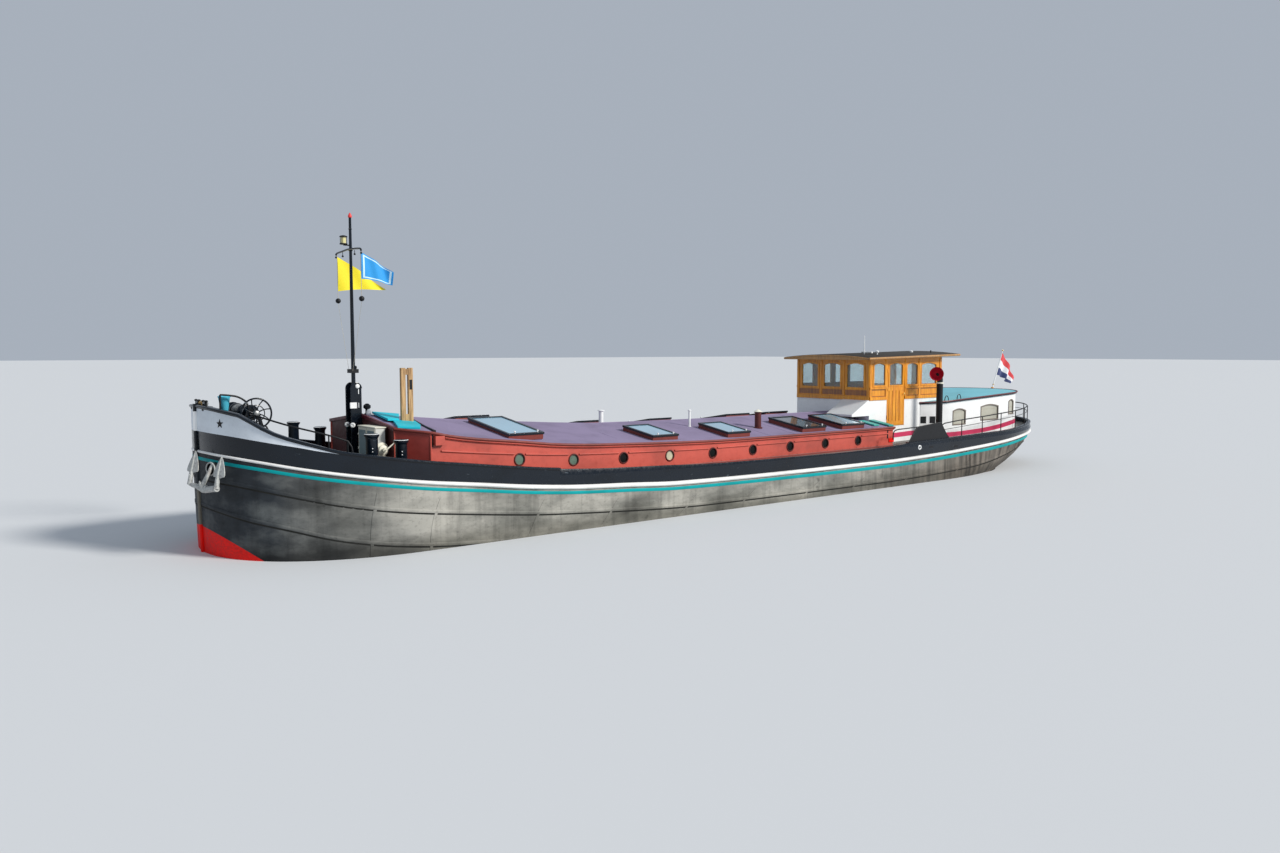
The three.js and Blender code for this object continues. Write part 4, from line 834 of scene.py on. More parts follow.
def make_band():
    """Painted stripe and white rubbing band all round the hull"""
    stations = station_list(34, 60, 30)
    stripe = Piece("turquoise_stripe", CYAN)
    path = round_path(lambda aft: BAND(aft) - STRIPE_DROP(aft), stations)
    edge = [(-0.01, -1), (0.004, -1), (0.006, -0.9), (0.006, 0.9), (0.004, 1), (-0.01, 1)]
    stripe.grid([[point + out * o + upward(u * STRIPE_HALF(place_of(point))) for o, u in edge]
                 for point, out in zip(path, outward(path, True))], around=True, along=True)
    stripe.done(slot="cyan_paint")
    band = Piece("rubbing_strake", BAND_WHITE)
    path = round_path(BAND, stations)
    outs = outward(path, True)
    beside = 0.055 / path[1].y
    path = [path[0].lerp(path[1], beside), *path[1:], path[0].lerp(path[-1], beside)]
    profile = [(-1, -1), *HALF_ROUND, (-1, 1)]
    band.grid([[point + out * o * BAND_REACH(place_of(point)) + upward(u * BAND_HALF(place_of(point)))
                for o, u in profile] for point, out in zip(path, [outs[1], *outs[1:], outs[-1]])],
              around=True, capped=True)
    band.done(replaces="rubbing_band", slot="white_paint")


# Paint of the stem bar: height from which each colour runs, from the top down
# The white band from 2.3 to 2.66 takes the brighter white of painted sunlight
STEM_BANDS = ((2.66, 1), (2.3, 0), (1.98, 1), (1.3, 2), (0.53, 4), (-9, 3))


def make_stem():
    """Stem bar, painted in bands by height"""
    made = Piece("stem_bar", STEM_SUNLIT_WHITE, BLACK, TAR, RED_PAINT, STEM_GREY)
    points = [hull_point(1 + k / 3, ("bow", math.pi / 2)) for k in range(3 * (DECK_RING - 1) + 1)]
    spine = [(point[0], point[2]) for point in points]
    spine += [*((0, up) for up in (2.3, 2.45, 2.6, 2.66, 2.72, 2.78)), (-0.002, 2.8)]
    for edge in (0.53, 1.3, 1.98):
        index = next(k for k, point in enumerate(spine) if point[1] > edge)
        (a, low), (b, high) = spine[index - 1:index + 1]
        spine.insert(index, (a + (b - a) * (edge - low) / (high - low), edge))
    section = [(-0.02, 0.05), (0.03, 0.05), (0.044, 0.036), (0.05, 0), (0.044, -0.036), (0.03, -0.05),
               (-0.02, -0.05)]
    rows = [[ship(aft - out, port, up) for out, port in section] for aft, up in spine]
    made.grid(rows, lambda i, j: next(look for low, look in STEM_BANDS if spine[i][1] >= low - 1e-6),
              around=True, capped=True)
    made.done(replaces="stem", slot="black_paint")


# Bulwarks and toe rails

def wall(piece, path, outs, lines, look=0):
    """Wall along a path with its outward directions: lines are (inset, height line), round its section"""
    rows = [[Vector((p.x, p.y, DRAFT + line(place_of(p)))) - out * inset for inset, line in lines]
            for p, out in zip(path, outs)]
    piece.grid(rows, (lambda i, j: look(place_of(path[i]), j)) if callable(look) else look, around=True,
               capped=True)


# Edge of the quarter screens: metres aft and height
SCREEN = ((18.34, 1.18), (18.49, 1.37), (18.645, 1.545), (18.7, 1.59), (18.79, 1.612), (19.3, 1.652),
          (19.8, 1.69), (19.87, 1.68), (19.97, 1.545), (20.14, 1.34), (20.33, 1.18))


BOW_BULWARK_END = 6.42
STERN_BULWARK_FROM = 18.3
SHIP_END = 27.4


def make_bulwarks():
    """Bulwarks at the bow and the stern with their cap, the toe rails between, and the quarter screens"""
    piece = Piece("bow_bulwark", BLACK, PANEL_SHADED_WHITE)
    path, outs = rim_path(0, BOW_BULWARK_END, DECK)

    def panel_top(aft):
        return max(CAP(aft) - 0.04, DECK(aft))

    def panel_foot(aft):
        return min(max(PANEL(aft), DECK(aft)), panel_top(aft))

    def rounding(aft):
        return CAP(aft) - 0.012

    lines = [(0, DECK), (0, panel_foot), (0, panel_top), (0, CAP), (0.05, CAP), (0.05, DECK)]
    # The white panel takes the blue-grey white of painted shade
    wall(piece, path, outs, lines, lambda aft, j: 1 if j == 1 and aft < PANEL_END else 0)
    piece.done(replaces="bulwark_fore", slot="black_paint", sharp=50)
    cap = Piece("bow_cap_rail", BLACK)
    profile = [(-0.085, -0.02), (0.025, -0.02), (0.034, -0.005), (0.03, 0.015), (0.015, 0.024),
               (-0.075, 0.024), (-0.09, 0.012)]
    cap.sweep(*rim_path(0, BOW_BULWARK_END, CAP), profile)
    cap.sweep(*rim_path(STERN_BULWARK_FROM, SHIP_END, CAP, 0.04), profile)
    cap.done(slot="black_paint")
    for name, side in SIDES.items():
        path, outs = rim_path(BOW_BULWARK_END, STERN_BULWARK_FROM, DECK, step=0.3)
        rail = Piece(f"side_toe_rail_{name}", BLACK)
        if side < 0:
            path, outs = mirror(path), mirror(outs)
        lines = [(0, DECK), (0, rounding), (0.008, CAP), (0.032, CAP), (0.04, rounding), (0.04, DECK)]
        wall(rail, path, outs, lines)
        rail.done(replaces=f"toe_rail_{name}", slot="black_paint")
    stern = Piece("stern_bulwark", BLACK)
    lines = [(0, DECK), (0.04, CAP), (0.09, CAP), (0.06, DECK)]
    wall(stern, *rim_path(STERN_BULWARK_FROM, SHIP_END, DECK), lines)
    stern.done(replaces="bulwark_aft", slot="black_paint")
    outline = [(p.x, p.y) for p in curve_through([(aft, up, 0) for aft, up in SCREEN], 4)]
    for name, side in SIDES.items():
        screen = Piece(f"quarter_screen_{name}", BLACK_MATT)
        panel(screen, outline, side_place(side, HALF_BEAM - 0.045), -0.02, 0)
        screen.tube([ship(aft, side * (HALF_BEAM - 0.055), up) for aft, up in outline], 0.016, 8)
        screen.done(replaces=f"side_screen_{name}", slot="black_paint")


STAR = {"at": 0.17, "up": 2.467, "radius": 0.085, "inner": 0.42}


def make_star():
    """Dark five-pointed star on each side of the white bow panel"""
    piece = Piece("bow_stars", BLACK_MATT)
    path, outs = rim_path(0, 1.0, DECK, step=0.02)
    for side in (1, -1):
        place, out = min(((p, o) for p, o in zip(path, outs) if p.y * side > 0.2),
                         key=lambda item: abs(place_of(item[0]) - STAR["at"]))
        along = Vector((-out.y, out.x, 0)) * side
        centre = Vector((place.x, place.y, DRAFT + STAR["up"]))
        points = []
        for k in range(10):
            reach = STAR["radius"] * (STAR["inner"] if k % 2 else 1)
            turn = math.pi / 2 + math.pi * k / 5
            points.append(centre + along * math.cos(turn) * reach + upward(math.sin(turn) * reach))
        piece.slab([point + out * 0.006 for point in points], -out * 0.05)
    piece.done(slot="black_paint")


# Hold

def roof_height(aft, port):
    return RIDGE(aft) + (EAVE(aft) - RIDGE(aft)) * abs(port) / COAMING["half"]


def on_roof(aft, port, lift):
    return ship(aft, port, roof_height(aft, port) + lift)


def porthole_places():
    for i in range(PORTHOLE["count"]):
        aft = PORTHOLE["first"] + PORTHOLE["step"] * i
        yield aft, (EAVE(aft) + DECK(aft)) / 2 - 0.03


def wall_run(start, end, height, side):
    """Path along the straight side of the coaming, with its outward directions"""
    count = max(1, int((end - start) / 0.4))
    path = [ship(aft, side * COAMING["half"], height(aft))
            for aft in (start + (end - start) * k / count for k in range(count + 1))]
    return path, [Vector((0, side, 0))] * len(path)


# Section of a porthole's ring: radius, and distance off the wall
PORTHOLE_RING = [(0.108, -0.03), (0.108, 0.01), (0.116, 0.018), (0.132, 0.016), (0.138, 0.004),
                 (0.138, -0.002)]
# Portholes with a curtain behind them, and the material of each
PORTHOLE_PANES = {0: 3, 1: 3, 3: 2}
COAMING_BOLTS = {"first": 4.3, "step": 0.3, "count": 46}


def make_coaming():
    """Looks of the coaming's CAD parts, its mouldings, corner panels and bolts, and the portholes"""
    dress(RED, *both("coaming"))
    # The front wall gets the darker red of painted shade
    dress(RED_SHADE, "coaming_front")
    under_roof = [(0, -0.1), (0.036, -0.095), (0.05, -0.082), (0.05, -0.062), (0, -0.055)]
    ledge = [(0, -0.022), (0.026, -0.014), (0.03, 0), (0.026, 0.012), (0, 0.018)]
    foot = [(0, 0), (0.05, 0), (0.05, 0.012), (0.006, 0.035), (0, 0.05)]
    middle = Line(*((aft, EAVE(aft) * 0.5 + DECK(aft) * 0.5 + 0.09) for aft in (3, 5, 7, 9, 11, 14, 18.3)))
    for name, side in SIDES.items():
        trim = Piece(f"coaming_trim_{name}", RED, RED_DARK, RED_HALF_SHADE, BLACK_MATT)
        for start, height, profile, look in ((4.03, EAVE, under_roof, 0), (3.76, DECK, foot, 1)):
            trim.sweep(*wall_run(start, COAMING["aft"], height, side), profile, look)
        breaks = [3.955, *(place[0] for place in porthole_places()), 18.1]
        for k, (before, after) in enumerate(zip(breaks, breaks[1:])):
            trim.sweep(*wall_run(before + (0.14 if k else 0), after - 0.14, middle, side), ledge)
        near = ship(COAMING["front"], side * COAMING["front_half"], 0)
        far = ship(COAMING["shoulder"], side * COAMING["half"], 0)
        corner_out = Vector((abs(far.y) - abs(near.y), side * (near.x - far.x), 0)).normalized()
        corners = [point + upward(up) for point, up in
                   ((near, DECK(COAMING["front"]) + 0.02), (far, DECK(COAMING["shoulder"]) + 0.02),
                    (far, 2.2), (near, 2.3))]
        # The corner board takes the darker red of painted half shade
        trim.slab([corner - corner_out * 0.004 for corner in corners], corner_out * 0.014, 2)
        for along in (0.0, 1.0):
            post = near.lerp(far, along)
            trim.tube([post + upward(1.42), post + upward(2.29 - 0.1 * along)], 0.02, 8, 0)
        # Black block standing for the dark slot behind the bracket: painted shade
        trim.block((3.76, 3.79), (side * 2.05, side * 2.112), (1.92, 2.2), 3)
        trim.block((3.8, 4.0), (side * 2.1, side * 2.19), (1.95, 2.13), 0)
        # Black block standing for the dark notch near the aft end: painted shade
        trim.block((17.93, 17.98), (side * 2.05, side * 2.106), (1.3, 1.6), 3)
        for k in range(COAMING_BOLTS["count"]):
            aft = COAMING_BOLTS["first"] + COAMING_BOLTS["step"] * k
            trim.turned([(0.012, 0), (0.012, 0.006), (0.006, 0.01)],
                        ship(aft, side * COAMING["half"], DECK(aft) + 0.07), (0, side, 0), 6)
        trim.done(slot="red_paint", bevel=0.003)
        rims = Piece(f"portholes_{name}", PORT_RIM, DARK_PANE, PALE_PANE, GREEN_PANE)
        for k, (aft, up) in enumerate(porthole_places()):
            centre = ship(aft, side * COAMING["half"], up)
            rims.turned(PORTHOLE_RING, centre, (0, side, 0), 32, hollow=True)
            rims.turned([(0.109, -0.022), (0.109, -0.014), (0.001, -0.01)], centre, (0, side, 0), 32,
                        PORTHOLE_PANES.get(k, 1))
            for bolt in range(6):
                turn = math.pi / 3 * bolt + 0.3
                foot_at = centre + Vector((math.cos(turn) * 0.124, side * 0.017, math.sin(turn) * 0.124))
                rims.turned([(0.007, 0), (0.007, 0.004), (0.004, 0.006)], foot_at, (0, side, 0), 6)
        rims.done(slot="red_paint", sharp=35)


DECK_RIM = {"front": 3.21, "aft": 18.22, "half_front": 1.612, "half": 2.145}
# Dark seam across the fore end of the hold's deck: metres aft at the ridge, and how far it runs forward
FORE_SEAM = {"at": 4.25, "forward": 0.42}
DECK_BATTENS = (4.6, 7.6, 8.6, 10.9, 13.2, 14.1, 15.7, 17.3)


def make_hold_deck():
    """Look of the hold's deck, its rounded edge, the fore edge with its seam, and the battens"""
    dress(DECK_PURPLE, *both("hold_deck"))
    edge = Piece("hold_deck_edge", RED_DARK)
    front, end, half_front, half = (DECK_RIM[key] for key in ("front", "aft", "half_front", "half"))
    stations = [front + (end - front) * k / 50 for k in range(51)]
    rim = [*((front + 0.52 * k / 4, half_front + 0.5 * k / 4) for k in range(4)), (3.76, half)]
    rim += [(aft, half) for aft in stations if aft > 3.9]
    for side in (1, -1):
        edge.tube([on_roof(aft, side * port, -0.025) for aft, port in rim], 0.03, 10)
    edge.done(slot="red_paint")
    fore = Piece("hold_deck_fore_edge", MAROON, BLACK_MATT)
    for side in (1, -1):
        rows = [[on_roof(aft, side * port, up)
                 for aft, up in ((3.185, -0.055), (3.185, 0.01), (3.24, 0.014), (3.24, -0.055))]
                for port in (0.01, 0.8, 1.62)]
        fore.grid(rows, 0, around=True, capped=True)
        slant = FORE_SEAM["forward"] / COAMING["half"]
        seam = [(FORE_SEAM["at"] - slant * port, port) for port in (0.01, 0.7, 1.4, 2.1)]
        rows = [[on_roof(aft + shift, side * port, up)
                 for shift, up in ((-0.025, -0.01), (-0.025, 0.03), (0.025, 0.03), (0.025, -0.01))]
                for aft, port in seam]
        fore.grid(rows, 1, around=True, capped=True)
    fore.done(slot="hold_deck")
    joints = Piece("hold_deck_battens", DECK_PURPLE)
    for aft in DECK_BATTENS:
        for side in (1, -1):
            rows = []
            for shift, lift in ((-0.03, -0.004), (-0.026, 0.006), (0.026, 0.006), (0.03, -0.004)):
                rows.append([on_roof(aft + shift, side * port, lift) for port in (0.03, 1, 2.14)])
            joints.grid(rows)
    ridge = [ship(aft, 0, RIDGE(aft) - 0.012) for aft in stations[1:-1]]
    joints.tube(ridge, 0.026, 8)
    joints.done(slot="hold_deck")


def four_bars(piece, half, near, far, bar, low, high, place):
    """Frame of four bars: half its width, near and far edges, the bars' width, their low and high faces"""
    piece.box((-half, near, low), (half, near + bar, high), 0, place)
    piece.box((-half, far - bar, low), (half, far, high), 0, place)
    piece.box((-half, near + bar, low), (bar - half, far - bar, high), 0, place)
    piece.box((half - bar, near + bar, low), (half, far - bar, high), 0, place)


LID = {"gap": 0.006, "bar": 0.06, "thick": 0.045, "knob_inset": 0.16}
CURB = {"inset": 0.016, "thick": 0.014}
DARK_LID = 4


def make_skylights():
    """Hinged lids and the curbs under them; a lid's own places run from its hinge down the roof"""
    for number, (centre, width, upper, lower) in enumerate(SKYLIGHTS, 1):
        fall = (RIDGE(centre) - EAVE(centre)) / COAMING["half"]
        slope = math.atan(fall)
        run = (lower - upper) / math.cos(slope)
        for name, side in SIDES.items():
            foot = ship(centre, side * upper, RIDGE(centre) - fall * upper)
            seat = Matrix.Translation(foot) @ Matrix.Rotation(-side * slope, 4, "X")

            def place(point):
                return seat @ Vector((point[0], side * point[1], point[2]))

            half = width / 2
            base = CURB_RISE + LID["gap"]
            # All lids but one show the light blue of a painted sky reflection
            pane = DARK_SKY_PANE if number == DARK_LID else SKY_REFLECTION_PANE
            lid = Piece(f"skylight_lid_{number}_{name}", BLACK, pane, KNOB)
            bar, top = LID["bar"], base + LID["thick"]
            four_bars(lid, half, 0, run, bar, base, top, place)
            lid.box((-half + bar, bar, base + 0.014), (half - bar, run - bar, base + 0.03), 1, place)
            for along in (LID["knob_inset"] - half, half - LID["knob_inset"]):
                knob = place((along, run - 0.03, top))
                lid.turned([(0.014, 0), (0.012, 0.02), (0.022, 0.03), (0.024, 0.04), (0.012, 0.05)], knob,
                           seat.to_3x3() @ upward(1), 12, 2)
            lid.done(f"lid_{number}_{name}", replaces=f"skylight_{number}_{name}", slot="skylight_glass",
                     bevel=0.004)
            curb = Piece(f"skylight_curb_{number}_{name}", RED_DARK)
            inset = CURB["inset"]
            four_bars(curb, half - inset, inset, run - inset, CURB["thick"], -0.01, CURB_RISE, place)
            curb.done(slot="hold_deck")


# Wheelhouse: its windows, the places of posts and panels along its walls, and the heights of its belt
WINDOW = {"sill": 2.76, "head": 3.42, "arch": 0.06}
SIDE_WINDOWS = ((18.2, 18.72), (19.76, 20.29), (20.48, 21.23))
SIDE_POSTS = ((18.01, 18.1), (18.74, 18.81), (19.66, 19.73), (21.4, 21.5), (20.34, 20.43))
SIDE_PANELS = ((18.12, 18.72), (19.75, 20.32), (20.45, 21.38))
END_PANELS = ((-1.29, -0.5), (-0.38, 0.38), (0.5, 1.29))
BELT = (2.66, 2.715)
DOOR_BOARDS = {"count": 4, "low": 1.7, "high": 2.6, "edge": 0.09, "gap": 0.012}


def window(start, end):
    return arched(start, end, WINDOW["sill"], WINDOW["head"], WINDOW["arch"])


def make_door(name, side):
    leaf = Piece(f"door_trim_{name}", VARNISH, VARNISH_DARK, BRASS, PANE)
    on_door = side_place(side, HOUSE["half"])
    pane = window(DOOR["from"] + 0.12, DOOR["to"] - 0.1)
    moulding(leaf, grown(pane, -0.01), on_door, 0.05, -0.004, 0.012)
    panel(leaf, grown(pane, 0.004), on_door, -0.03, -0.024, 3)
    start, end = DOOR["from"] + 0.01, DOOR["to"] - 0.01
    count, low, high, edge, gap = (DOOR_BOARDS[key] for key in ("count", "low", "high", "edge", "gap"))
    board = (end - start - 2 * edge) / count
    for k in range(count):
        left = start + edge + board * k
        panel(leaf, rectangle(left + gap, left + board - gap, low, high), on_door, -0.004, 0.011)
    panel(leaf, rectangle(start + edge, end - edge, low, high), on_door, -0.004, 0.001, 1)
    for band in ((1.58, low), (high, 2.7)):
        panel(leaf, rectangle(start + 0.01, end - 0.01, *band), on_door, -0.004, 0.014)
    leaf.turned([(0.012, 0), (0.01, 0.03), (0.024, 0.035), (0.026, 0.05), (0.012, 0.06)],
                on_door(end - 0.07, 2.5, 0.012), (0, side, 0), 12, 2)
    leaf.done(f"door_{name}", slot="varnished_wood", bevel=0.003)


def make_wheelhouse_end(name, wall_aft, facing, top):
    """Trim of the front or the aft wall; facing is 1 towards the bow"""
    trim = Piece(f"wheelhouse_trim_{name}", VARNISH, VARNISH_DARK, PANE)

    def on_end(port, up, off):
        return ship(wall_aft - facing * off, port, up)

    for centre in (-0.87, 0, 0.87):
        outline = arched(centre - 0.32, centre + 0.32, 2.7, WINDOW["head"], WINDOW["arch"])
        moulding(trim, grown(outline, -0.012), on_end, 0.06, -0.02, 0.016)
        panel(trim, grown(outline, 0.004), on_end, -0.027, -0.021, 2)
    for port in (-1.35, -0.435, 0.435, 1.35):
        panel(trim, rectangle(port - 0.04, port + 0.04, HOUSE["sill"], top), on_end, -0.01, 0.018)
    panel(trim, rectangle(-HOUSE["half"], HOUSE["half"], 2.34, 2.45), on_end, -0.01, 0.026)
    for left, right in END_PANELS:
        panel(trim, rectangle(left, right, 2.48, 2.63), on_end, -0.01, 0.008, 1)
    trim.done(slot="varnished_wood", bevel=0.004)


def make_wheelhouse():
    """Looks of the wheelhouse's CAD parts, and the trim, panes and doors of its sides and ends"""
    dress(WHITE, "wheelhouse_base")
    dress(VARNISH, *both("wheelhouse"), *both("wheelhouse_door"), "wheelhouse_front", "wheelhouse_aft")
    dress(VARNISH_DARK, "helm_console", "helm_wheel")
    dress(ENGINE, "engine")
    windows = [window(start, end) for start, end in SIDE_WINDOWS]
    low, high = HOUSE["sill"], HOUSE["top_front"]
    for name, side in SIDES.items():
        trim = Piece(f"wheelhouse_trim_{name}", VARNISH, VARNISH_DARK, CRIMSON)
        on_wall = side_place(side, HOUSE["half"])
        for outline in windows:
            moulding(trim, grown(outline, -0.012), on_wall, 0.05, -0.02, 0.014)
            moulding(trim, grown(outline, -0.022), on_wall, 0.022, -0.03, -0.012, 1)
        for start, end in SIDE_POSTS:
            panel(trim, rectangle(start, end, low, high + 0.02), on_wall, -0.01, 0.016)
        for start, end in ((HOUSE["front"], DOOR["from"]), (DOOR["to"], HOUSE["aft"])):
            panel(trim, rectangle(start, end, low - 0.02, low + 0.07), on_wall, -0.01, 0.024)
            panel(trim, rectangle(start, end, *BELT), on_wall, -0.01, 0.03)
        for start, end in SIDE_PANELS:
            moulding(trim, rectangle(start, end, 2.46, 2.63), on_wall, 0.016, -0.01, 0.012, 1)
        line = [(aft, CRIMSON_LINE(aft)) for aft in (18.24, 18.8, 19.4, 20.0, 20.44)]
        stripe = [(aft, up - 0.07) for aft, up in line] + [(aft, up + 0.07) for aft, up in line[::-1]]
        panel(trim, stripe, on_wall, -0.01, 0.005, 2)
        trim.done(slot="varnished_wood", bevel=0.004)
        panes = Piece(f"wheelhouse_panes_{name}", PANE)
        for outline in windows:
            panel(panes, grown(outline, 0.006), on_wall, -0.027, -0.021)
        panes.done(slot="skylight_glass")
        make_door(name, side)
    make_wheelhouse_end("front", HOUSE["front"], 1, 3.5)
    make_wheelhouse_end("aft", HOUSE["aft"], -1, 3.58)


def make_wheelhouse_roof():
    """Cambered roof with a varnished edge and a felt top"""
    half, thick, camber = ROOF["half"], ROOF["thick"], ROOF["camber"]
    slope = (HOUSE["top_aft"] - HOUSE["top_front"]) / (HOUSE["aft"] - HOUSE["front"])

    def under(aft):
        return HOUSE["top_front"] + (aft - HOUSE["front"]) * slope

    roof = Piece("wheelhouse_roof_fine", FASCIA, ROOF_FELT, VARNISH_DARK)
    across = [1 - 2 * i / 24 for i in range(25)]
    stations = [ROOF["front"], ROOF["front"] + 0.02, ROOF["aft"] - 0.02, ROOF["aft"]]
    rows = []
    for k, aft in enumerate(stations):
        sink = 0.012 if k in (0, 3) else 0
        top = [ship(aft, half * s, under(aft) + thick + camber * (1 - s * s) - sink) for s in across]
        bottom = [ship(aft, half * s * 0.995, under(aft) + 0.004) for s in reversed(across)]
        rows.append(top + bottom)
    roof.grid(rows, lambda i, j: 1 if j < 24 else (2 if 25 <= j < 49 else 0), around=True)
    roof.face(rows[0])
    roof.face(rows[-1])
    for aft in (ROOF["front"], ROOF["aft"]):
        roof.tube([ship(aft, half * s, under(aft) + thick + camber * (1 - s * s) - 0.035) for s in across],
                  0.02, 8)
    for side in (1, -1):
        roof.tube([ship(aft, side * half, under(aft) + 0.035) for aft in (ROOF["front"], ROOF["aft"])],
                  0.032, 10)
    roof.done(replaces="wheelhouse_roof", slot="varnished_wood", sharp=35)


# Aft cabin

CABIN_STEPS = 22


def cabin_rise(aft):
    return CABIN["rise"] * (aft - CABIN["front"]) / (CABIN["end"] - CABIN["front"])


def cabin_plan(grow=0.0):
    """Plan of the aft cabin from the wheelhouse's corner round the stern, as (aft, port)"""
    points = [(CABIN["front"] - grow, HOUSE["half"] + 0.01), (CABIN["shoulder"], CABIN["half"] + grow)]
    points += [(CABIN["shoulder"] + (CABIN["round_from"] - CABIN["shoulder"]) * k / 8, CABIN["half"] + grow)
               for k in range(1, 8)]
    for i in range(CABIN_STEPS + 1):
        turn = math.pi / 2 * i / CABIN_STEPS
        points.append((CABIN["round_from"] + (CABIN["end"] - CABIN["round_from"] + grow)
                       * math.sin(turn) ** 0.8, (CABIN["half"] + grow) * max(0, math.cos(turn)) ** 0.8))
    points[-1] = (points[-1][0], 0)
    return points + [(aft, -port) for aft, port in points[:-1]][::-1]


def cabin_side(side):
    """Places on one side of the cabin's wall: (aft, up, distance off it)"""
    edge = [(aft, port) for aft, port in cabin_plan() if port >= 0]
    return lambda aft, up, off: ship(aft, side * (breadth_on(edge, aft) + off), up)


def cabin_top(aft, port, lift):
    """Place over the top of the cabin's walls"""
    return ship(aft, port, CABIN["top"] + cabin_rise(aft) + lift)


def make_aft_cabin():
    """Cabin's shell with its windows cut out, their frames, the crimson stripe and the roof with its bead"""
    walls = Piece("aft_cabin_shell", WHITE, LINING)
    outer, inner = cabin_plan(), cabin_plan(-0.045)
    rows = []
    for wall_out, wall_in in zip(outer, inner):
        top, foot = CABIN["top"] + cabin_rise(wall_out[0]), DECK(wall_out[0]) - 0.01
        rows.append([ship(*wall_out, foot), ship(*wall_out, top), ship(*wall_in, top), ship(*wall_in, foot)])
    walls.grid(rows, lambda i, j: 1 if j == 2 else 0, around=True, capped=True)
    shell = walls.done(replaces="aft_cabin_walls", slot="white_paint", sharp=50)
    cutter = Piece("cabin_window_cut", WHITE)
    outlines = [arched(*window, WINDOW["arch"]) for window in CABIN_WINDOWS]
    for outline in outlines:
        cutter.grid([[ship(aft, port, up) for aft, up in outline] for port in (-2.5, 2.5)], around=True,
                    capped=True)
    cut_away(shell, cutter.done())
    shell.data.set_sharp_from_angle(angle=math.radians(50))
    frames = Piece("aft_cabin_window_frames", GREY_BROWN, BLIND)
    for side in (1, -1):
        on_wall = cabin_side(side)
        for outline in outlines:
            moulding(frames, grown(outline, -0.01), on_wall, 0.038, -0.03, 0.012)
            panel(frames, outline, on_wall, -0.028, -0.02, 1)
    frames.done(slot="white_paint", bevel=0.003)
    foot = Piece("crimson_foot_stripe", CRIMSON)
    path = [ship(aft, port, CRIMSON_LINE(aft)) for aft, port in cabin_plan()]
    outs = outward(path)
    foot.sweep(path[1:-1], outs[1:-1], [(-0.01, -0.07), (0.005, -0.07), (0.005, 0.07), (-0.01, 0.07)])
    foot.done(slot="red_paint")
    roof = Piece("aft_cabin_top", CABIN_ROOF, MAROON, BLACK)
    plan = cabin_plan(0.045)
    inside = [(aft, port * 0.97) for aft, port in cabin_plan(-0.02)]
    rows = [[cabin_top(aft, port, lift) for aft, port in edge]
            for edge, lift in ((plan, 0.004), (plan, 0.05), (inside, 0.07))]
    roof.grid(rows, lambda i, j: 2 if i == 0 else 0)
    half_count = len(plan) // 2
    for row in (rows[0], rows[-1]):
        roof.grid([[row[i], row[-1 - i]] for i in range(half_count + 1)], 0)
    roof.face([rows[k][i] for k, i in ((0, 0), (1, 0), (2, 0), (2, -1), (1, -1), (0, -1))], 2)
    roof.done(replaces="aft_cabin_roof", slot="cyan_paint", sharp=60)
    bead = Piece("aft_cabin_bead", MAROON)
    bead.tube([cabin_top(aft, port, 0.055) for aft, port in plan], 0.022, 8)
    bead.done(slot="red_paint")


# Foredeck

TABERNACLE = {"at": 3.08, "half": 0.125, "depth": 0.23, "top": 3.13, "cheek": 0.03}
MAST = {"pivot": 2.95, "top": 6.5, "radius": 0.048, "tip": 0.026, "heel": 2.0}
YARD = {"height": 5.82, "half": 0.64, "rise": 0.02}
MAST_WINCH = {"from": 2.94, "to": 3.14, "low": 0.55, "high": 1.35, "top": 2.275}
ANCHOR_WINCH = {"at": 0.87, "height": 2.62, "frames": 0.54, "wheel_at": 0.74, "wheel": 0.28}
ANCHOR = {"at": 0.0, "side": 0.825, "height": 1.38, "turn": 22, "lean": 0.14, "top": 0.58}
# Flukes: across, foot and tip
FLUKES = ((-0.385, 0.19, 0.585), (0.345, 0.135, 0.515))
BOLLARD = {"side": 2.06, "plate": (2.37, 3.32)}
# Bollards: metres aft, and height over the cap
BOLLARDS = ((2.55, 0.41), (3.14, 0.36))
# Corners of the bow rail: metres aft, metres to the side, and height over the cap
BOW_RAIL = ((0.7, 1.29, 0.22), (1.1, 1.83, 0.25), (1.7, 2.13, 0.264), (2.02, 2.22, 0.22))


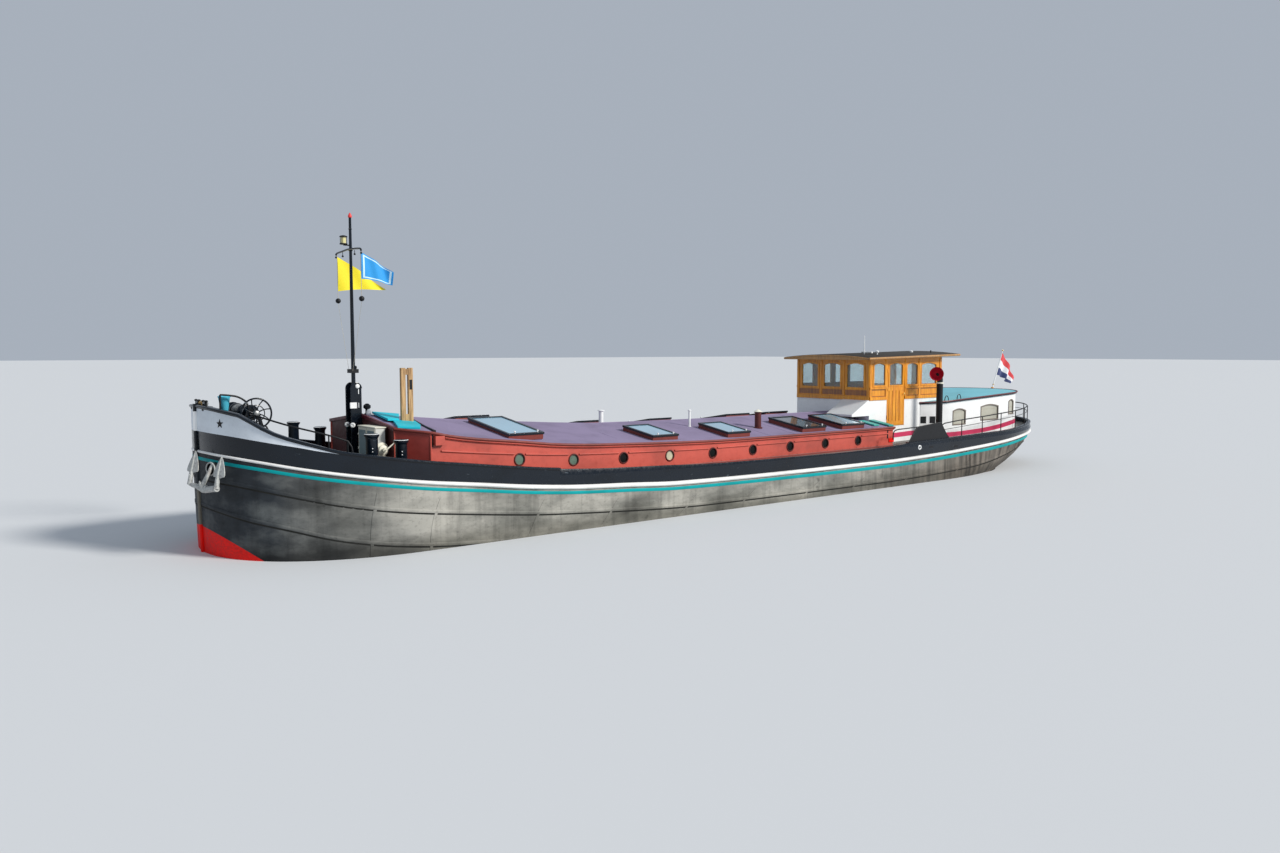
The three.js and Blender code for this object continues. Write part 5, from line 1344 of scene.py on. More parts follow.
def make_tabernacle():
    """Two cheeks that hold the mast's foot, with their feet and lamps, and the lamp on the fore hatch"""
    piece = Piece("mast_tabernacle", BLACK, WHITE, BRASS)
    at, half, depth, top = (TABERNACLE[key] for key in ("at", "half", "depth", "top"))
    front, back = at - depth / 2, at + depth / 2
    radius = depth / 2
    cheek = [(back, DECK(back)), (front, DECK(front)), (front, top - radius)]
    cheek += [(at - radius * math.cos(a), top - radius + radius * math.sin(a))
              for a in half_circle(14)[1:-1]]
    cheek.append((back, top - radius))
    for side in (1, -1):
        outer = [ship(aft, side * half, up) for aft, up in cheek]
        piece.slab(outer, (0, -side * TABERNACLE["cheek"], 0))
        rim = [ship(aft, side * half, up) for aft, up in cheek[1:]]
        piece.tube(rim, 0.012, 8)
        piece.turned([(0.045, 0), (0.045, 0.01), (0.03, 0.022), (0.001, 0.024)],
                     ship(at + 0.03, side * half, 3.06), (0, side, 0), 20, 1)
        for up in (2.9, 2.62):
            piece.block((at + 0.04, at + 0.055), (side * half, side * (half + 0.012)), (up, up + 0.1), 1)
    piece.block((back - 0.03, back), (-half, half), (DECK(back), 2.3))
    for port in (-0.26, 0.17):
        piece.block((front - 0.02, back + 0.01), (port, port + 0.09), (DECK(at) - 0.01, 1.56))
    piece.block((back - 0.05, back), (-0.26, 0.26), (DECK(at) - 0.01, 1.56))
    piece.block((2.94, 3.08), (half, half + 0.03), (2.61, 2.73), 1)
    for port in (0.03, 0.31):
        piece.turned([(0.05, -0.03), (0.05, 0.02), (0.03, 0.03), (0.03, 0.022), (0.012, 0.02),
                      (0.001, 0.03)], ship(front - 0.05, port, 2.28), (0.5, 0.8, 0), 18, 1)
    piece.tube([ship(front - 0.05, 0.0, 2.28), ship(front - 0.05, 0.3, 2.28)], 0.02, 10)
    piece.tube([ship(front - 0.05, 0.1, 2.28), ship(front + 0.02, 0.1, 2.28)], 0.02, 10)
    piece.done(replaces="tabernacle", slot="black_paint", bevel=0.004)
    lamp = Piece("fore_hatch_lamp", BLACK_MATT, WHITE)
    foot = ship(3.34, 0.05, RIDGE(3.34) - 0.02)
    lamp.turned([(0.06, 0), (0.06, 0.03), (0.035, 0.05), (0.035, 0.12), (0.075, 0.15), (0.075, 0.2),
                 (0.03, 0.24)], foot, sides=16)
    lamp.turned([(0.035, 0), (0.055, 0.03), (0.045, 0.09), (0.015, 0.13)],
                ship(3.32, 0.17, RIDGE(3.32) - 0.02), sides=14, look=1)
    lamp.done(slot="black_paint")


def mast_point(out, port, up):
    """Place beside the mast's centreline, out towards the bow"""
    return ship(TABERNACLE["at"] - out, port, up)


def make_mast():
    """Mast with its collars and yard, and the lantern and halyards that ride on it"""
    piece = Piece("mast_pole", BLACK, RED_CAP, BLACK_MATT)
    heights = [MAST["heel"], 2.4, 2.95, 3.6, 4.6, 5.6, MAST["top"]]
    shares = [(up - MAST["heel"]) / (MAST["top"] - MAST["heel"]) for up in heights]
    piece.tube([mast_point(0, 0, up) for up in heights],
               [MAST["radius"] + (MAST["tip"] - MAST["radius"]) * s for s in shares], 20)
    reach = TABERNACLE["half"] - TABERNACLE["cheek"] - 0.008
    piece.tube([mast_point(0, -reach, MAST["pivot"]), mast_point(0, reach, MAST["pivot"])], 0.024, 14)
    piece.turned([(0.034, -0.02), (0.04, 0), (0.034, 0.03), (0.014, 0.065), (0.003, 0.08)],
                 mast_point(0, 0, MAST["top"]), sides=16, look=1)
    for up, radius in ((3.34, 0.062), (3.4, 0.062), (5.82, 0.045), (6.25, 0.036)):
        piece.turned([(radius - 0.01, -0.012), (radius, -0.008), (radius, 0.008), (radius - 0.01, 0.012)],
                     mast_point(0, 0, up), sides=20)
    piece.box(mast_point(0.1, -0.07, 3.33), mast_point(-0.09, 0.07, 3.41), 2)
    piece.turned([(0.012, 0), (0.02, 0.02), (0.02, 0.05), (0.006, 0.07)], mast_point(-0.05, 0.02, 3.41),
                 look=2)
    half, height, rise = YARD["half"], YARD["height"], YARD["rise"]
    bows = ((-1, -rise - 0.03), (-0.92, -rise), (-0.5, 0), (0, 0.02), (0.5, 0.01), (0.92, -0.01),
            (1, -rise - 0.03))
    yard = [mast_point(0.05, half * share, height + up) for share, up in bows]
    piece.tube(curve_through(yard, 4), 0.019, 10)
    for port in (-half, half, -half * 0.45, half * 0.5):
        piece.tube([mast_point(0.05, port, height - 0.02), mast_point(0.05, port, height - 0.09)], 0.007, 6)
        piece.ball(mast_point(0.05, port, height - 0.1), 0.022, 2, 10)
    piece.done("mast", replaces="mast", slot="black_paint", bevel=0.002)
    lantern = Piece("masthead_lantern", BLACK_MATT, LANTERN_GLASS)
    foot = mast_point(0.13, -0.04, 5.935)
    lantern.turned([(0.075, 0), (0.078, 0.01), (0.078, 0.022), (0.03, 0.024)], foot)
    lantern.turned([(0.055, 0.024), (0.055, 0.145)], foot, look=1)
    lantern.turned([(0.03, 0.145), (0.078, 0.147), (0.078, 0.165), (0.06, 0.175), (0.02, 0.185)], foot)
    for k in range(4):
        turn = math.pi / 4 + math.pi / 2 * k
        side = Vector((math.cos(turn), math.sin(turn), 0)) * 0.066
        lantern.tube([foot + side + upward(0.01), foot + side + upward(0.16)], 0.005, 6)
    lantern.box(mast_point(0.13, -0.055, 5.915), mast_point(0, -0.025, 5.937))
    lantern.done("mast", slot="black_paint")
    lines = Piece("mast_halyards", ROPE_WHITE, BLACK_MATT)
    for port, foot_port in ((-0.58, -0.1), (0.62, 0.1)):
        lines.tube([mast_point(0.05, port, YARD["height"] - 0.05), mast_point(0.05, port, 4.87)], 0.005, 6)
        lines.ball(mast_point(0.05, port, 4.82), 0.055, 1, 16)
        lines.tube([mast_point(0.05, port, 4.77), mast_point(0.05, foot_port, 3.38)], 0.003, 5)
    lines.done("mast", slot="black_paint")


def make_cloth(name, body, look, place, size=(26, 16)):
    """Sheet of cloth: place gives a point from shares along the fly and up the hoist"""
    piece = Piece(name, look)
    columns, rows = size
    marks = piece.mesh.loops.layers.uv.new("UVMap")
    points = [[piece.mesh.verts.new(place(i / columns, j / rows)) for i in range(columns + 1)]
              for j in range(rows + 1)]
    for j in range(rows):
        for i in range(columns):
            corners = ((i, j), (i + 1, j), (i + 1, j + 1), (i, j + 1))
            made = piece.mesh.faces.new([points[b][a] for a, b in corners])
            for loop, (a, b) in zip(made.loops, corners):
                loop[marks].uv = (a / columns, b / rows)
    made = piece.done(body, slot="white_paint", sharp=180)
    return made


def make_pennants():
    """Triangular yellow pennant to starboard and blue flag to port, flying aft from the yard"""

    def yellow(s, v):
        low, high = 5.02, 5.73
        middle = low + 0.09
        top, bottom = high + (middle - high) * s, low + (middle - low) * s * 0.9
        wave = 0.05 * math.sin(5.2 * s + 0.8) * s ** 0.7 + 0.02 * math.sin(11 * s + 3 * v)
        up = bottom + (top - bottom) * v + 0.02 * math.sin(4 * s)
        return mast_point(0.05 - 1.06 * s, -0.58 + wave, up)

    def blue(s, v):
        low, high = 5.21, 5.73
        sag = 0.36 * s ** 1.15
        lift = 0.26 * s * (1 - v)
        wave = 0.06 * math.sin(6.0 * s - 0.6 + 1.2 * v) * s ** 0.6 + 0.02 * math.sin(13 * s + 2 * v)
        return mast_point(0.05 - 0.68 * s, 0.62 + wave, low + (high - low) * v - sag + lift)

    yellow_cloth = cloth("yellow_bunting", (0.86, 0.72, 0.01))
    blue_cloth = cloth("blue_bunting", (0.01, 0.3, 0.72), border=(0.62, 0.85, 0.95))
    make_cloth("yellow_pennant", "mast", yellow_cloth, yellow, (40, 14))
    make_cloth("blue_flag", "mast", blue_cloth, blue, (32, 14))


def make_mast_winch():
    """White gear box with its crank and gear wheels on the port side; its front panels are painted shade"""
    start, end, low, high, top = (MAST_WINCH[key] for key in ("from", "to", "low", "high", "top"))
    box = Piece("mast_winch_box", BOX_SIDE, CREAM, BOX_FRONT_SHADE)
    box.block((start, end), (low, high), (DECK(end) - 0.01, top))
    box.block((start - 0.02, end + 0.02), (low - 0.02, high + 0.02), (top, top + 0.02), 1)
    for left, right in ((low, 0.95), (0.95, high)):
        box.block((start - 0.012, start), (left + 0.01, right - 0.01), (1.6, top - 0.01), 1)
        box.block((start - 0.018, start - 0.01), (left + 0.045, right - 0.045), (1.64, top - 0.06), 2)
    box.done(replaces="mast_winch", slot="white_paint", bevel=0.006)
    gear = Piece("mast_winch_gear", CREAM, BLACK_MATT)
    hub = ship((start + end) / 2, high, 1.86)
    for distance, radius, thick in ((0.03, 0.14, 0.035), (0.09, 0.09, 0.05), (0.17, 0.045, 0.05)):
        gear.turned([(radius * 0.9, 0), (radius, 0.006), (radius, thick - 0.006), (radius * 0.9, thick)],
                    hub + Vector((0, distance, 0)), TO_PORT, 24)
    gear.tube([hub, hub + Vector((0, 0.24, 0))], 0.018, 10)
    crank = hub + Vector((0, 0.24, 0))
    gear.tube([crank, crank + Vector((-0.2, 0.005, 0.15))], 0.014, 8)
    gear.tube([crank + Vector((-0.2, 0.005, 0.15)), crank + Vector((-0.2, 0.15, 0.15))], 0.016, 8)
    for lift in (0.26, -0.02):
        gear.ball(ship(start, low + 0.02, 1.86 + lift), 0.03, 0, 12)
    gear.done(slot="white_paint")


def make_anchor_winch():
    """Windlass: two A-shaped frames with a guard, and the drum with its chain and handwheel"""
    at, height = ANCHOR_WINCH["at"], ANCHOR_WINCH["height"]
    stand = Piece("windlass_frame", BLACK_MATT, BLACK)
    deck = 1.86
    for side in (1, -1):
        port = side * ANCHOR_WINCH["frames"]
        outline = [(at - 0.33, deck), (at - 0.27, deck), (at - 0.08, height - 0.1),
                   (at + 0.08, height - 0.1), (at + 0.27, deck), (at + 0.33, deck),
                   (at + 0.11, height + 0.04), (at + 0.06, height + 0.085), (at - 0.06, height + 0.085),
                   (at - 0.11, height + 0.04)]
        stand.slab([ship(aft, port - 0.02, up) for aft, up in outline], (0, 0.04, 0))
        stand.block((at - 0.2, at + 0.2), (port - 0.018, port + 0.018), (2.12, 2.17))
        stand.turned([(0.042, -0.045), (0.08, -0.045), (0.08, 0.045), (0.042, 0.045)],
                     ship(at, port, height), TO_PORT, 24)
        stand.block((at - 0.36, at + 0.36), (port - 0.05, port + 0.05),
                    (DECK(at + 0.36) - 0.02, deck + 0.035))
    for aft in (at - 0.26, at + 0.26):
        stand.tube([ship(aft, -0.54, 1.95), ship(aft, 0.54, 1.95)], 0.02, 10)
    guard = curve_through([ship(0.3, 0.5, 2.975), ship(0.45, 0.5, 2.961), ship(0.62, 0.5, 2.926),
                           ship(0.765, 0.5, 2.828), ship(0.8, 0.53, 2.7)], 6)
    stand.tube(guard, 0.018, 10)
    stand.tube([ship(0.3, 0.5, 2.975), ship(0.3, 0.5, DECK(0.3))], 0.018, 10)
    stand.done(replaces="anchor_winch_frame", slot="black_paint", bevel=0.003)
    drum = Piece("windlass_drum", BLACK, BLACK_MATT, STEEL)
    centre = ship(at, 0, height)
    drum.turned([(0.035, -0.7), (0.035, -0.45)], centre, TO_PORT)
    drum.turned([(0.035, 0.45), (0.035, ANCHOR_WINCH["wheel_at"] + 0.04)], centre, TO_PORT)
    drum.turned([(0.15, -0.43), (0.15, -0.4), (0.1, -0.39), (0.1, 0.0), (0.14, 0.01), (0.14, 0.04),
                 (0.1, 0.05), (0.1, 0.39), (0.15, 0.4), (0.15, 0.43)], centre, TO_PORT, 28)
    links = [centre + Vector((0.118 * math.cos(a), -0.34 + 0.3 * a / (8 * math.pi), 0.118 * math.sin(a)))
             for a in (2 * math.pi * k / 24 for k in range(24 * 4))]
    drum.tube(links, 0.018, 6, 2)
    drum.turned([(0.15, -0.7), (0.16, -0.69), (0.16, -0.65), (0.15, -0.64)], centre, TO_PORT, 24)
    wheel = centre + Vector((0, ANCHOR_WINCH["wheel_at"], 0))
    radius = ANCHOR_WINCH["wheel"]
    rim = [wheel + Vector((math.cos(a), 0, math.sin(a))) * radius for a in circle(40)]
    drum.tube(rim, 0.017, 10, closed=True)
    drum.tube([wheel + (point - wheel) * 0.55 for point in rim], 0.009, 8, closed=True)
    drum.turned([(0.05, -0.04), (0.06, -0.02), (0.06, 0.02), (0.05, 0.04), (0.025, 0.05)], wheel, TO_PORT,
                16, 2)
    for k in range(8):
        turn = math.pi / 4 * k + 0.2
        bend = [wheel + Vector((math.cos(turn + 0.3 * s), 0, math.sin(turn + 0.3 * s))) * radius
                * (0.2 + 0.8 * s) for s in (0, 0.33, 0.66, 1)]
        drum.tube(bend, [0.014, 0.011, 0.01, 0.012], 8)
    drum.turned([(0.016, 0), (0.02, 0.04), (0.016, 0.11), (0.008, 0.12)], rim[5], TO_PORT, 10, 2)
    drum.done("anchor_winch_drum", replaces="anchor_winch_drum", slot="black_paint")


def add_leg(piece, top, lift):
    """Thin post from a rail down to a lift over the deck"""
    piece.tube([top, Vector((top.x, top.y, DRAFT + DECK(place_of(top)) + lift))], 0.014, 8)


def make_bollards_and_rails():
    """Pair of bollards on a plate, and the bow's handrail, on each side"""
    for name, side in SIDES.items():
        posts = Piece(f"mooring_bollards_{name}", BLACK, WHITE)
        for aft, rise in BOLLARDS:
            top = CAP(aft) + rise
            foot = DECK(aft) - 0.02
            profile = [(0.15, 0), (0.15, 0.05), (0.115, 0.07), (0.112, top - foot - 0.09),
                       (0.12, top - foot - 0.07), (0.14, top - foot - 0.045), (0.14, top - foot - 0.008),
                       (0.125, top - foot), (0.001, top - foot)]
            # The white ring on the top edge is a painted highlight
            posts.turned(profile, ship(aft, side * BOLLARD["side"], foot), sides=28,
                         look=lambda i, j: 1 if i == 6 else 0)
            for lift in (0.08, 0.14):
                posts.ball(ship(aft - 0.04, side * (BOLLARD["side"] + 0.12), CAP(aft) + lift), 0.012, 1, 8)
        start, end = BOLLARD["plate"]
        posts.block((start, end), (side * (BOLLARD["side"] - 0.15), side * (BOLLARD["side"] + 0.15)),
                    (DECK(end) - 0.05, DECK(2.8) + 0.03))
        posts.done(replaces=f"bollards_{name}", slot="black_paint", bevel=0.003)
        rail = Piece(f"bow_handrail_{name}", BLACK_MATT)
        line = [ship(aft, side * port, CAP(aft) + lift) for aft, port, lift in BOW_RAIL]
        end = ship(2.1, side * 2.25, CAP(2.1))
        rail.tube(curve_through([line[0] + Vector((0.1, -side * 0.05, 0.03)), *line], 8)
                  + [end + Vector((0.02, 0, 0.13)), end], 0.016, 10)
        for point in (line[0], line[2], line[3]):
            add_leg(rail, point, 0.01)
        rail.done(replaces=f"bow_rail_{name}", slot="black_paint")


def make_fairlead():
    """Pins and rollers over the stem, and the turquoise bitt behind them"""
    fairlead = Piece("stem_fairlead", BLACK_MATT, STEEL, BITT_BLUE, BRONZE)
    fairlead.block((0.02, 0.2), (-0.4, 0.4), (2.68, 2.76))
    for port in (-0.33, -0.14, 0.14, 0.33):
        fairlead.turned([(0.03, 0), (0.03, 0.02), (0.018, 0.03), (0.018, 0.08), (0.032, 0.09), (0.032, 0.11),
                         (0.01, 0.12)], ship(0.1, port, 2.755), sides=16)
    for port, look in ((-0.235, 1), (0.0, 3), (0.235, 1)):
        fairlead.turned([(0.04, -0.07), (0.024, -0.04), (0.024, 0.04), (0.04, 0.07)], ship(0.11, port, 2.81),
                        TO_PORT, 16, look)
    bitt = [(0.05, DECK(0.43) - 2.64), (0.055, -0.01), (0.062, 0), (0.104, 0.27), (0.116, 0.285),
            (0.116, 0.3), (0.1, 0.305), (0.09, 0.28)]
    fairlead.turned(bitt, ship(0.43, 0.3, 2.64), sides=28, look=2)
    fairlead.done(slot="black_paint", bevel=0.004)


def make_anchor():
    """Stockless anchor against the port bow: leaf flukes that lean in, bent crown, shank and hawse ring"""
    piece = Piece("port_bow_anchor", IRON, BLACK_MATT)
    turn = Matrix.Rotation(math.radians(ANCHOR["turn"]), 4, "Z")
    seat = Matrix.Translation(ship(ANCHOR["at"], ANCHOR["side"], ANCHOR["height"])) @ turn

    def at(out, port, up):
        return seat @ Vector((out, port, up))

    def lean(up):
        return ANCHOR["lean"] * (1 - max(0, up) / ANCHOR["top"])

    leaf = ((0.04, 0.0), (0.07, 0.03), (0.137, 0.07), (0.15, 0.15), (0.142, 0.27), (0.124, 0.42),
            (0.098, 0.58), (0.066, 0.76), (0.032, 0.91), (0.004, 1.0))
    for across, foot, tip in FLUKES:
        rows = []
        for width, share in leaf:
            up = foot + (tip - foot) * share
            thick = 0.016 * (1 - share) + 0.004
            rows.append([at(lean(up) + out, across + port, up) for out, port in
                         ((-thick, -width), (0.2 * thick, -width), (thick, -width * 0.4), (2 * thick, 0),
                          (thick, width * 0.4), (0.2 * thick, width), (-thick, width))])
        piece.grid(rows, around=True, capped=True)
        arm = [(-0.02 if across < 0 else -0.05), foot, foot + 0.15, tip - 0.06, tip]
        piece.tube([at(lean(up) + 0.012, across, up) for up in arm], [0.046, 0.04, 0.028, 0.012, 0.004], 10)
    crown = curve_through([at(0.145, across, up) for across, up in
                           ((-0.395, -0.005), (-0.3, -0.02), (-0.17, -0.04), (-0.07, -0.07), (0.0, -0.09),
                            (0.1, -0.08), (0.22, -0.06), (0.355, -0.045))], 5)
    count = len(crown) - 1
    piece.tube(crown, [0.032 + 0.026 * math.sin(math.pi / 2 * min(1, 1.6 * k / count))
                       for k in range(count + 1)], 14)
    for radius, place in ((0.055, (0.15, -0.03, -0.03)), (0.032, (0.17, -0.06, 0.02)),
                          (0.04, (0.15, 0.05, -0.04))):
        piece.ball(at(*place), radius)
    knuckle = at(0.185, -0.06, 0.03)
    piece.tube([knuckle + turn @ Vector((0.02 * math.cos(a), 0.035 * math.cos(a), 0.035 * math.sin(a)))
                for a in circle(16)], 0.01, 8, closed=True)
    piece.tube([at(0.15, -0.02, 0.0), at(0.07, 0.0, 0.15), at(0.0, 0.01, 0.28), at(-0.05, 0.01, 0.36)],
               [0.042, 0.034, 0.031, 0.03], 14)
    hawse = at(-0.02, -0.02, 0.27)
    ring = [hawse + turn @ Vector((0, math.cos(a) * 0.115, math.sin(a) * 0.115))
            for a in circle(32)]
    piece.tube(ring, 0.014, 10, closed=True)
    along = turn @ Vector((1, 0, 0))
    piece.turned([(0.118, -0.4), (0.112, 0.0), (0.1, 0.0), (0.09, -0.06), (0.001, -0.07)], hawse, along, 28,
                 1)
    piece.done(replaces="anchor_port", slot="anchor_iron", bevel=0.003)


# Gear on the hold's deck

# Boards on the fore hatch: corners (aft, port), and the lower face's height over the roof
HATCH_BOARDS = ((((3.43, 0.08), (3.36, 1.0), (3.62, 0.97), (4.03, 0.09)), 0.03),
                (((3.47, 1.02), (3.26, 1.66), (3.66, 1.82), (3.85, 1.45), (4.04, 0.82), (3.65, 0.9)), 0.0))
TIMBER_POST = {"at": 3.8, "port": 0.95, "apart": 0.08, "top": 3.44}
STOVE = {"at": 13.55, "port": 1.3, "radius": 0.085, "top": 2.16}
# Vents: metres aft and to port, radius, and height
VENTS = ((11.6, 0.8, 0.03, 2.26), (9.7, -0.4, 0.06, 2.27))


def make_deck_gear():
    """Boards and timber post on the fore hatch, stove pipe and vents"""
    boards = Piece("fore_hatch_boards", BOARD)
    for corners, lift in HATCH_BOARDS:
        rows = [[on_roof(aft, port, lift + up) for aft, port in corners] for up in (0.0, 0.045)]
        boards.grid(rows, around=True, capped=True)
    boards.done(slot="cyan_paint", bevel=0.008)
    post = Piece("slotted_timber_post", TIMBER, BLACK_MATT)
    centre, port = TIMBER_POST["at"], TIMBER_POST["port"]
    for plank in (centre - TIMBER_POST["apart"], centre + TIMBER_POST["apart"]):
        post.block((plank - 0.05, plank + 0.05), (port - 0.035, port + 0.035),
                   (roof_height(plank, port) - 0.02, TIMBER_POST["top"]))
    for low, high in ((2.36, 2.5), (3.3, 3.42)):
        post.block((centre - 0.04, centre + 0.04), (port - 0.025, port + 0.025), (low, high))
    post.block((centre + 0.05, centre + 0.11), (port + 0.03, port + 0.042), (3.0, 3.2), 1)
    post.done(replaces="timber_post", slot="timber", bevel=0.006)
    stove = Piece("stove_flue", PORT_RIM, CREAM)
    at, port, radius = STOVE["at"], STOVE["port"], STOVE["radius"]
    foot = roof_height(at, port)
    top = STOVE["top"] - foot
    stove.turned([(0.12, -0.01), (0.12, 0.02), (radius, 0.03), (radius, top), (0.1, top + 0.005),
                  (0.1, top + 0.02), (radius, top + 0.02)], ship(at, port, foot))
    stove.turned([(0.115, 0), (0.02, 0.06), (0.001, 0.062)], ship(at, port, STOVE["top"] + 0.03), look=1)
    stove.done(replaces="stove_pipe", slot="red_paint")
    vents = Piece("hold_vents", WHITE)
    for aft, port, radius, top in VENTS:
        foot = roof_height(aft, port)
        height = top - foot
        profile = [(radius * 1.6, -0.005), (radius * 1.6, 0.015), (radius, 0.02), (radius, height),
                   (radius * 1.5, height + 0.005), (radius * 1.5, height + 0.02), (0.004, height + 0.045)]
        vents.turned(profile, ship(aft, port, foot))
    vents.done(replaces=both("hold_vent"), slot="white_paint")


def make_quarter_boards():
    """Turquoise boards on the aft end of the hold's deck, beside the wheelhouse"""
    piece = Piece("quarter_boards", BOARD_GREEN, RED_PAINT, BLACK_MATT)
    for side in (1, -1):
        for start, end, near, far in ((17.5, 17.74, 1.42, 1.98), (17.98, 18.2, 1.42, 2.12)):
            rows = [[on_roof(aft, side * port, lift) for aft, port in rectangle(start, end, near, far)]
                    for lift in (0.012, 0.05)]
            piece.grid(rows, around=True, capped=True)
        piece.block((18.0, 18.22), (side * 2.09, side * 2.125), (1.19, 1.3), 1)
    piece.done(slot="cyan_paint", bevel=0.006)


# Aft gear

STACK = {"at": 20.55, "port": 2.0, "radius": 0.095, "top": 2.84}
COWL_FACING = (0.82, 0.57, 0.02)


def make_stack_and_cowl():
    """Tall black pipe on the side deck, with a turned-over cowl on top"""
    stack = Piece("exhaust_pipe", BLACK_MATT, CREAM)
    at, port, radius, top = (STACK[key] for key in ("at", "port", "radius", "top"))
    foot = DECK(at)
    stack.turned([(0.14, -0.01), (0.14, 0.02), (radius + 0.005, 0.03), (radius, 0.1), (radius, top - foot)],
                 ship(at, port, foot), sides=28)
    stack.turned([(radius, -0.05), (radius + 0.014, -0.045), (radius + 0.014, -0.005), (radius, 0)],
                 ship(at, port, top), sides=28, look=1)
    stack.done(replaces="exhaust_stack", slot="black_paint")
    cowl = Piece("cowl_ventilator", BLACK_MATT, COWL_RED)
    centre = ship(at - 0.17, port, 3.09)
    facing = Vector(COWL_FACING).normalized()
    cowl.turned([(0.02, -0.16), (0.08, -0.14), (0.115, -0.1), (0.135, -0.03), (0.16, 0.06), (0.19, 0.13),
                 (0.205, 0.15), (0.205, 0.16), (0.198, 0.16), (0.165, 0.1), (0.13, 0.02), (0.02, -0.05)],
                centre, facing, 36, lambda i, j: 1 if i > 5 else 0)
    cowl.tube(curve_through([ship(at, port, top + 0.001), ship(at, port, top + 0.1),
                             ship(at - 0.06, port, top + 0.2), centre - facing * 0.14], 6), 0.085, 20)
    cowl.done(replaces="cowl_vent", slot="red_paint")


STERN_GUARD = {"from": 19.95, "lower_from": 20.1, "inset": 0.13}
STERN_POSTS = (21.03, 22.12, 23.17, 24.2, 25.2, 26.1, 26.8)


def make_stern_rail():
    """Guard rail on its posts round the stern, and the grab rails forward of the quarter screens"""
    inset = STERN_GUARD["inset"]
    rail = Piece("stern_guard_rail", BLACK_MATT)
    top = rim_path(STERN_GUARD["from"], SHIP_END, STERN_RAIL, inset)[0]
    rail.tube([top[0] + Vector((0.05, 0, -0.25)), top[0] + Vector((0.04, 0, -0.06)), *top[1:-1],
               top[-1] + Vector((0.04, 0, -0.06)), top[-1] + Vector((0.05, 0, -0.25))], 0.017, 10)
    rail.tube(rim_path(STERN_GUARD["lower_from"], SHIP_END, MIDDLE_RAIL, inset)[0], 0.009, 6)
    posts = [ship(aft, side * (breadth_on(EDGE, aft) - inset), STERN_RAIL(aft))
             for aft in STERN_POSTS for side in (1, -1)]
    for post in [*posts, ship(27.22, 0, STERN_RAIL(27.2))]:
        add_leg(rail, post, 0.005)
    rail.done(replaces="stern_rail", slot="black_paint")
    grab = Piece("side_grab_rails", BLACK_MATT)
    for side in (1, -1):
        line = curve_through([ship(17.72, side * 2.47, 1.3), ship(17.74, side * 2.47, 1.5),
                              ship(17.9, side * 2.47, 1.57), ship(18.3, side * 2.5, 1.59),
                              ship(18.78, side * 2.53, 1.61)], 6)
        grab.tube(line, 0.016, 10)
    grab.done(slot="black_paint")


# Foot and head of the flagstaff: metres aft, and height
FLAGSTAFF = ((26.6, 2.45), (27.2, 3.78))


def make_flagstaff():
    """Slanting staff over the stern, and the ensign that hangs from it in folds"""
    staff = Piece("ensign_staff", VARNISH, WHITE, BRASS)
    foot, head = (ship(aft, 0, up) for aft, up in FLAGSTAFF)
    staff.tube([foot, foot.lerp(head, 0.5), head], [0.02, 0.018, 0.013], 14, 1)
    staff.ball(head, 0.03, 2, 14)
    staff.block((26.56, 26.64), (-0.03, 0.03), (DECK(26.6) - 0.02, 2.49))
    for share in (0.02, 0.1):
        staff.turned([(0.03, -0.015), (0.03, 0.015)], foot.lerp(head, share), head - foot, 16, 2)
    staff.done(replaces="flagstaff", slot="timber", bevel=0.003)

    def ensign(s, v):
        start = foot.lerp(head, 0.36 + 0.58 * v)
        across = 0.3 * math.sin(min(1.0, s * 1.3) * math.pi / 2) + 0.1 * s
        fall = (0.25 + 0.75 * v) * s * 0.85 + 0.1 * s * s
        fold = (0.1 - 0.045 * v) * math.sin(14 * s + 1.5 * v) * (0.3 + 0.7 * s)
        return start + Vector((-across, 0.22 * s + fold, -fall))

    tricolour = cloth("ensign_bunting", (0.015, 0.035, 0.15),
                      ((0.333, (0.82, 0.83, 0.86)), (0.667, (0.66, 0.03, 0.04))))
    make_cloth("stern_ensign", "barge", tricolour, ensign, (40, 21))


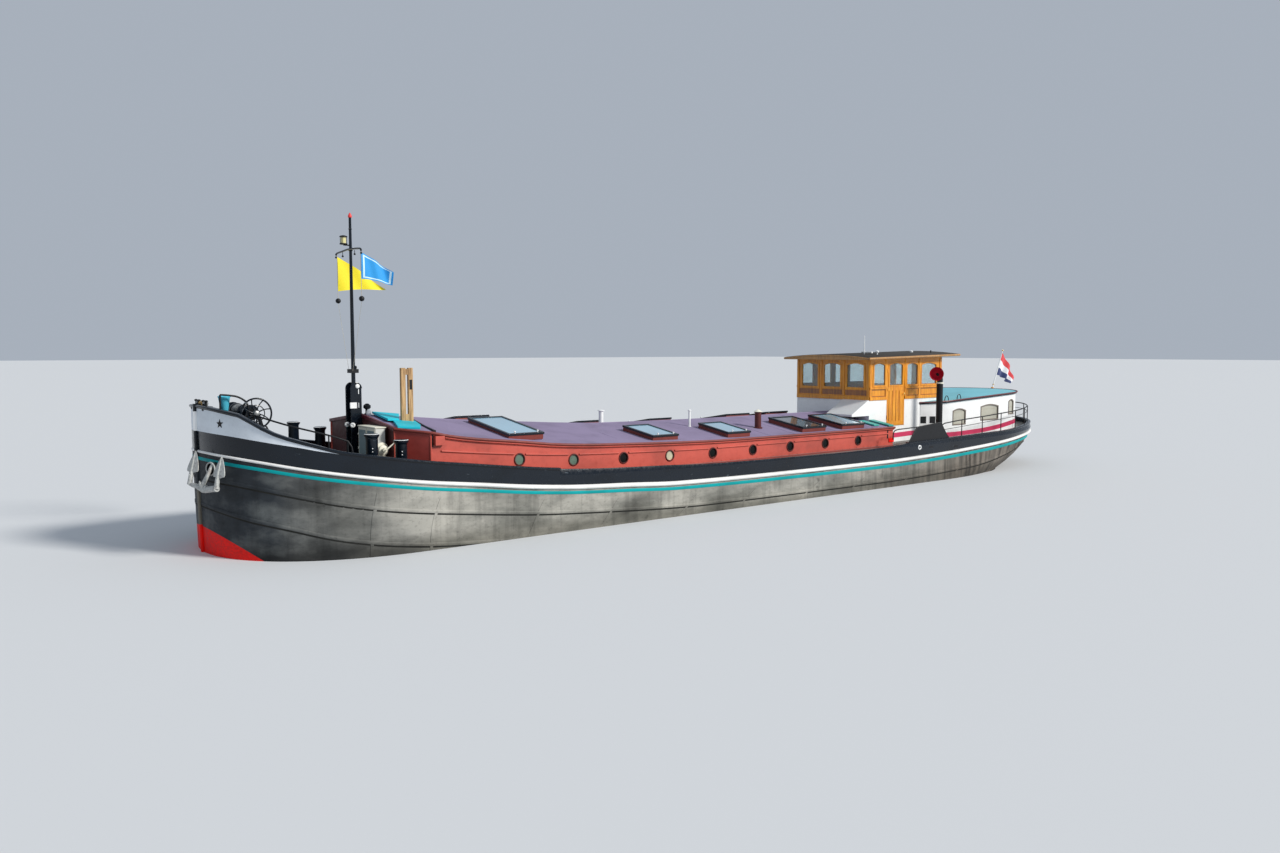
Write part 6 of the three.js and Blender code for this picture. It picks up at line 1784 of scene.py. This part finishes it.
def make_fittings():
    """Small fittings of the cabin and the wheelhouse's roof, and the hawse rings on the quarters"""
    piece = Piece("aft_cabin_fittings", BLACK, BLACK_MATT, WHITE)
    for aft in (21.3, 21.95):
        centre = cabin_top(aft, 1.74, 0.06)
        loop = [centre + Vector((-math.cos(a) * 0.1, 0, math.sin(a) * 0.15)) for a in half_circle(10)]
        piece.tube(loop, 0.013, 8)
    slant = CABIN["shoulder"] - CABIN["front"], CABIN["half"] - HOUSE["half"]
    for side in (1, -1):
        run = Vector((-slant[0], side * slant[1], 0)).normalized()
        out = Vector((slant[1], side * slant[0], 0)).normalized()
        for share in (0.12, 0.46):
            centre = ship(CABIN["front"] + slant[0] * share, side * (HOUSE["half"] + slant[1] * share),
                          1.675)
            for reach, thick, look in ((0.125, 0.008, 2), (0.095, 0.012, 1)):
                corners = [centre + run * (a * reach) + upward(b * (reach + 0.01)) for a, b in
                           ((-1, -1), (1, -1), (1, 1), (-1, 1))]
                piece.slab([corner - out * 0.005 for corner in corners], out * (thick + 0.005), look)
    piece.done(slot="black_paint", bevel=0.002)
    fittings = Piece("wheelhouse_roof_fittings", WHITE, BLACK_MATT, BRASS)
    base = HOUSE["top_front"] + ROOF["thick"] + ROOF["camber"]
    fittings.tube([ship(18.55, 0.75, base - 0.04), ship(18.55, 0.75, base + 0.55)], [0.016, 0.01], 10)
    fittings.tube([ship(18.6, 0.62, base + 0.06), ship(18.6, 1.0, base + 0.05)], 0.03, 12)
    for aft, port in ((18.9, 0.95), (20.9, 0.7)):
        profile = [(0.05, 0), (0.05, 0.02), (0.02, 0.03), (0.02, 0.08), (0.05, 0.09), (0.05, 0.13),
                   (0.02, 0.15)]
        fittings.turned(profile, ship(aft, port, base - 0.04))
    fittings.turned([(0.01, 0), (0.01, 0.09), (0.02, 0.1), (0.02, 0.13)], ship(21.2, 1.2, base - 0.02),
                    look=1)
    fittings.done(slot="white_paint")
    marks = Piece("hawse_rings", WHITE, BLACK_MATT)
    for side in (1, -1):
        ring = [ship(18.77 + 0.06 * math.cos(a), side * 2.605, 1.03 + 0.05 * math.sin(a))
                for a in circle(20)]
        marks.tube(ring, 0.018, 8, closed=True)
        marks.block((18.74, 18.8), (side * 2.59, side * 2.602), (1.0, 1.06), 1)
        for aft, up in ((19.34, 1.01), (20.55, 0.95)):
            marks.block((aft - 0.09, aft + 0.09), (side * 2.59, side * 2.603), (up - 0.025, up + 0.025), 1)
    marks.done(slot="black_paint")


# Camera, floor and light

# The sun's place is a direction; the camera looks aft, turned to starboard and tilted down, in degrees
FLOOR = {"reach": 400, "colour": (0.62, 0.64, 0.66), "roughness": 0.9}
SUN = {"towards": (-0.45, 0.72, 0.53), "energy": 3.7, "angle": 12, "colour": (1.0, 0.96, 0.9)}
SKY = {"colour": (0.78, 0.87, 1.0, 1), "strength": 0.5}
CAMERA = {"place": (18.70, 19.66, 4.70), "turn": 51.26, "down": 4.394, "lens": 28.0}


def make_stage():
    floor_mesh = bpy.data.meshes.new("floor")
    reach = FLOOR["reach"]
    floor_mesh.from_pydata([(x, y, DRAFT) for x, y in rectangle(-reach, reach, -reach, reach)], [],
                           [(0, 1, 2, 3)])
    floor_mesh.materials.append(Finish("floor", FLOOR["roughness"]).colour(FLOOR["colour"]).material)
    put_in_scene("floor", floor_mesh)

    sun_data = bpy.data.lights.new("sun", "SUN")
    sun_data.energy = SUN["energy"]
    sun_data.angle = math.radians(SUN["angle"])
    sun_data.color = SUN["colour"]
    sun = put_in_scene("sun", sun_data)
    sun.rotation_euler = Vector(SUN["towards"]).to_track_quat("Z", "Y").to_euler()

    world = bpy.data.worlds.new("studio")
    world.use_nodes = True
    back = world.node_tree.nodes["Background"]
    back.inputs["Color"].default_value = SKY["colour"]
    back.inputs["Strength"].default_value = SKY["strength"]
    bpy.context.scene.world = world

    view = bpy.data.cameras.new("camera")
    view.lens = CAMERA["lens"]
    view.sensor_width = 36
    view.clip_end = 2000
    camera = put_in_scene("camera", view)
    camera.location = CAMERA["place"]
    turn, down = math.radians(CAMERA["turn"]), math.radians(CAMERA["down"])
    forward = Vector((-math.cos(turn) * math.cos(down), -math.sin(turn) * math.cos(down), -math.sin(down)))
    camera.rotation_euler = forward.to_track_quat("-Z", "Y").to_euler()
    bpy.context.scene.camera = camera
    bpy.context.scene.view_settings.view_transform = "Standard"


make_stage()
make_hull()
make_plate_laps()
make_band()
make_stem()
make_bulwarks()
make_star()
make_coaming()
make_hold_deck()
make_skylights()
make_wheelhouse()
make_wheelhouse_roof()
make_aft_cabin()
make_tabernacle()
make_mast()
make_pennants()
make_mast_winch()
make_anchor_winch()
make_bollards_and_rails()
make_fairlead()
make_anchor()
make_deck_gear()
make_quarter_boards()
make_stack_and_cowl()
make_stern_rail()
make_flagstaff()
make_fittings()
dress(TAR, "skeg", "rudder")
dress(BRONZE, "propeller")
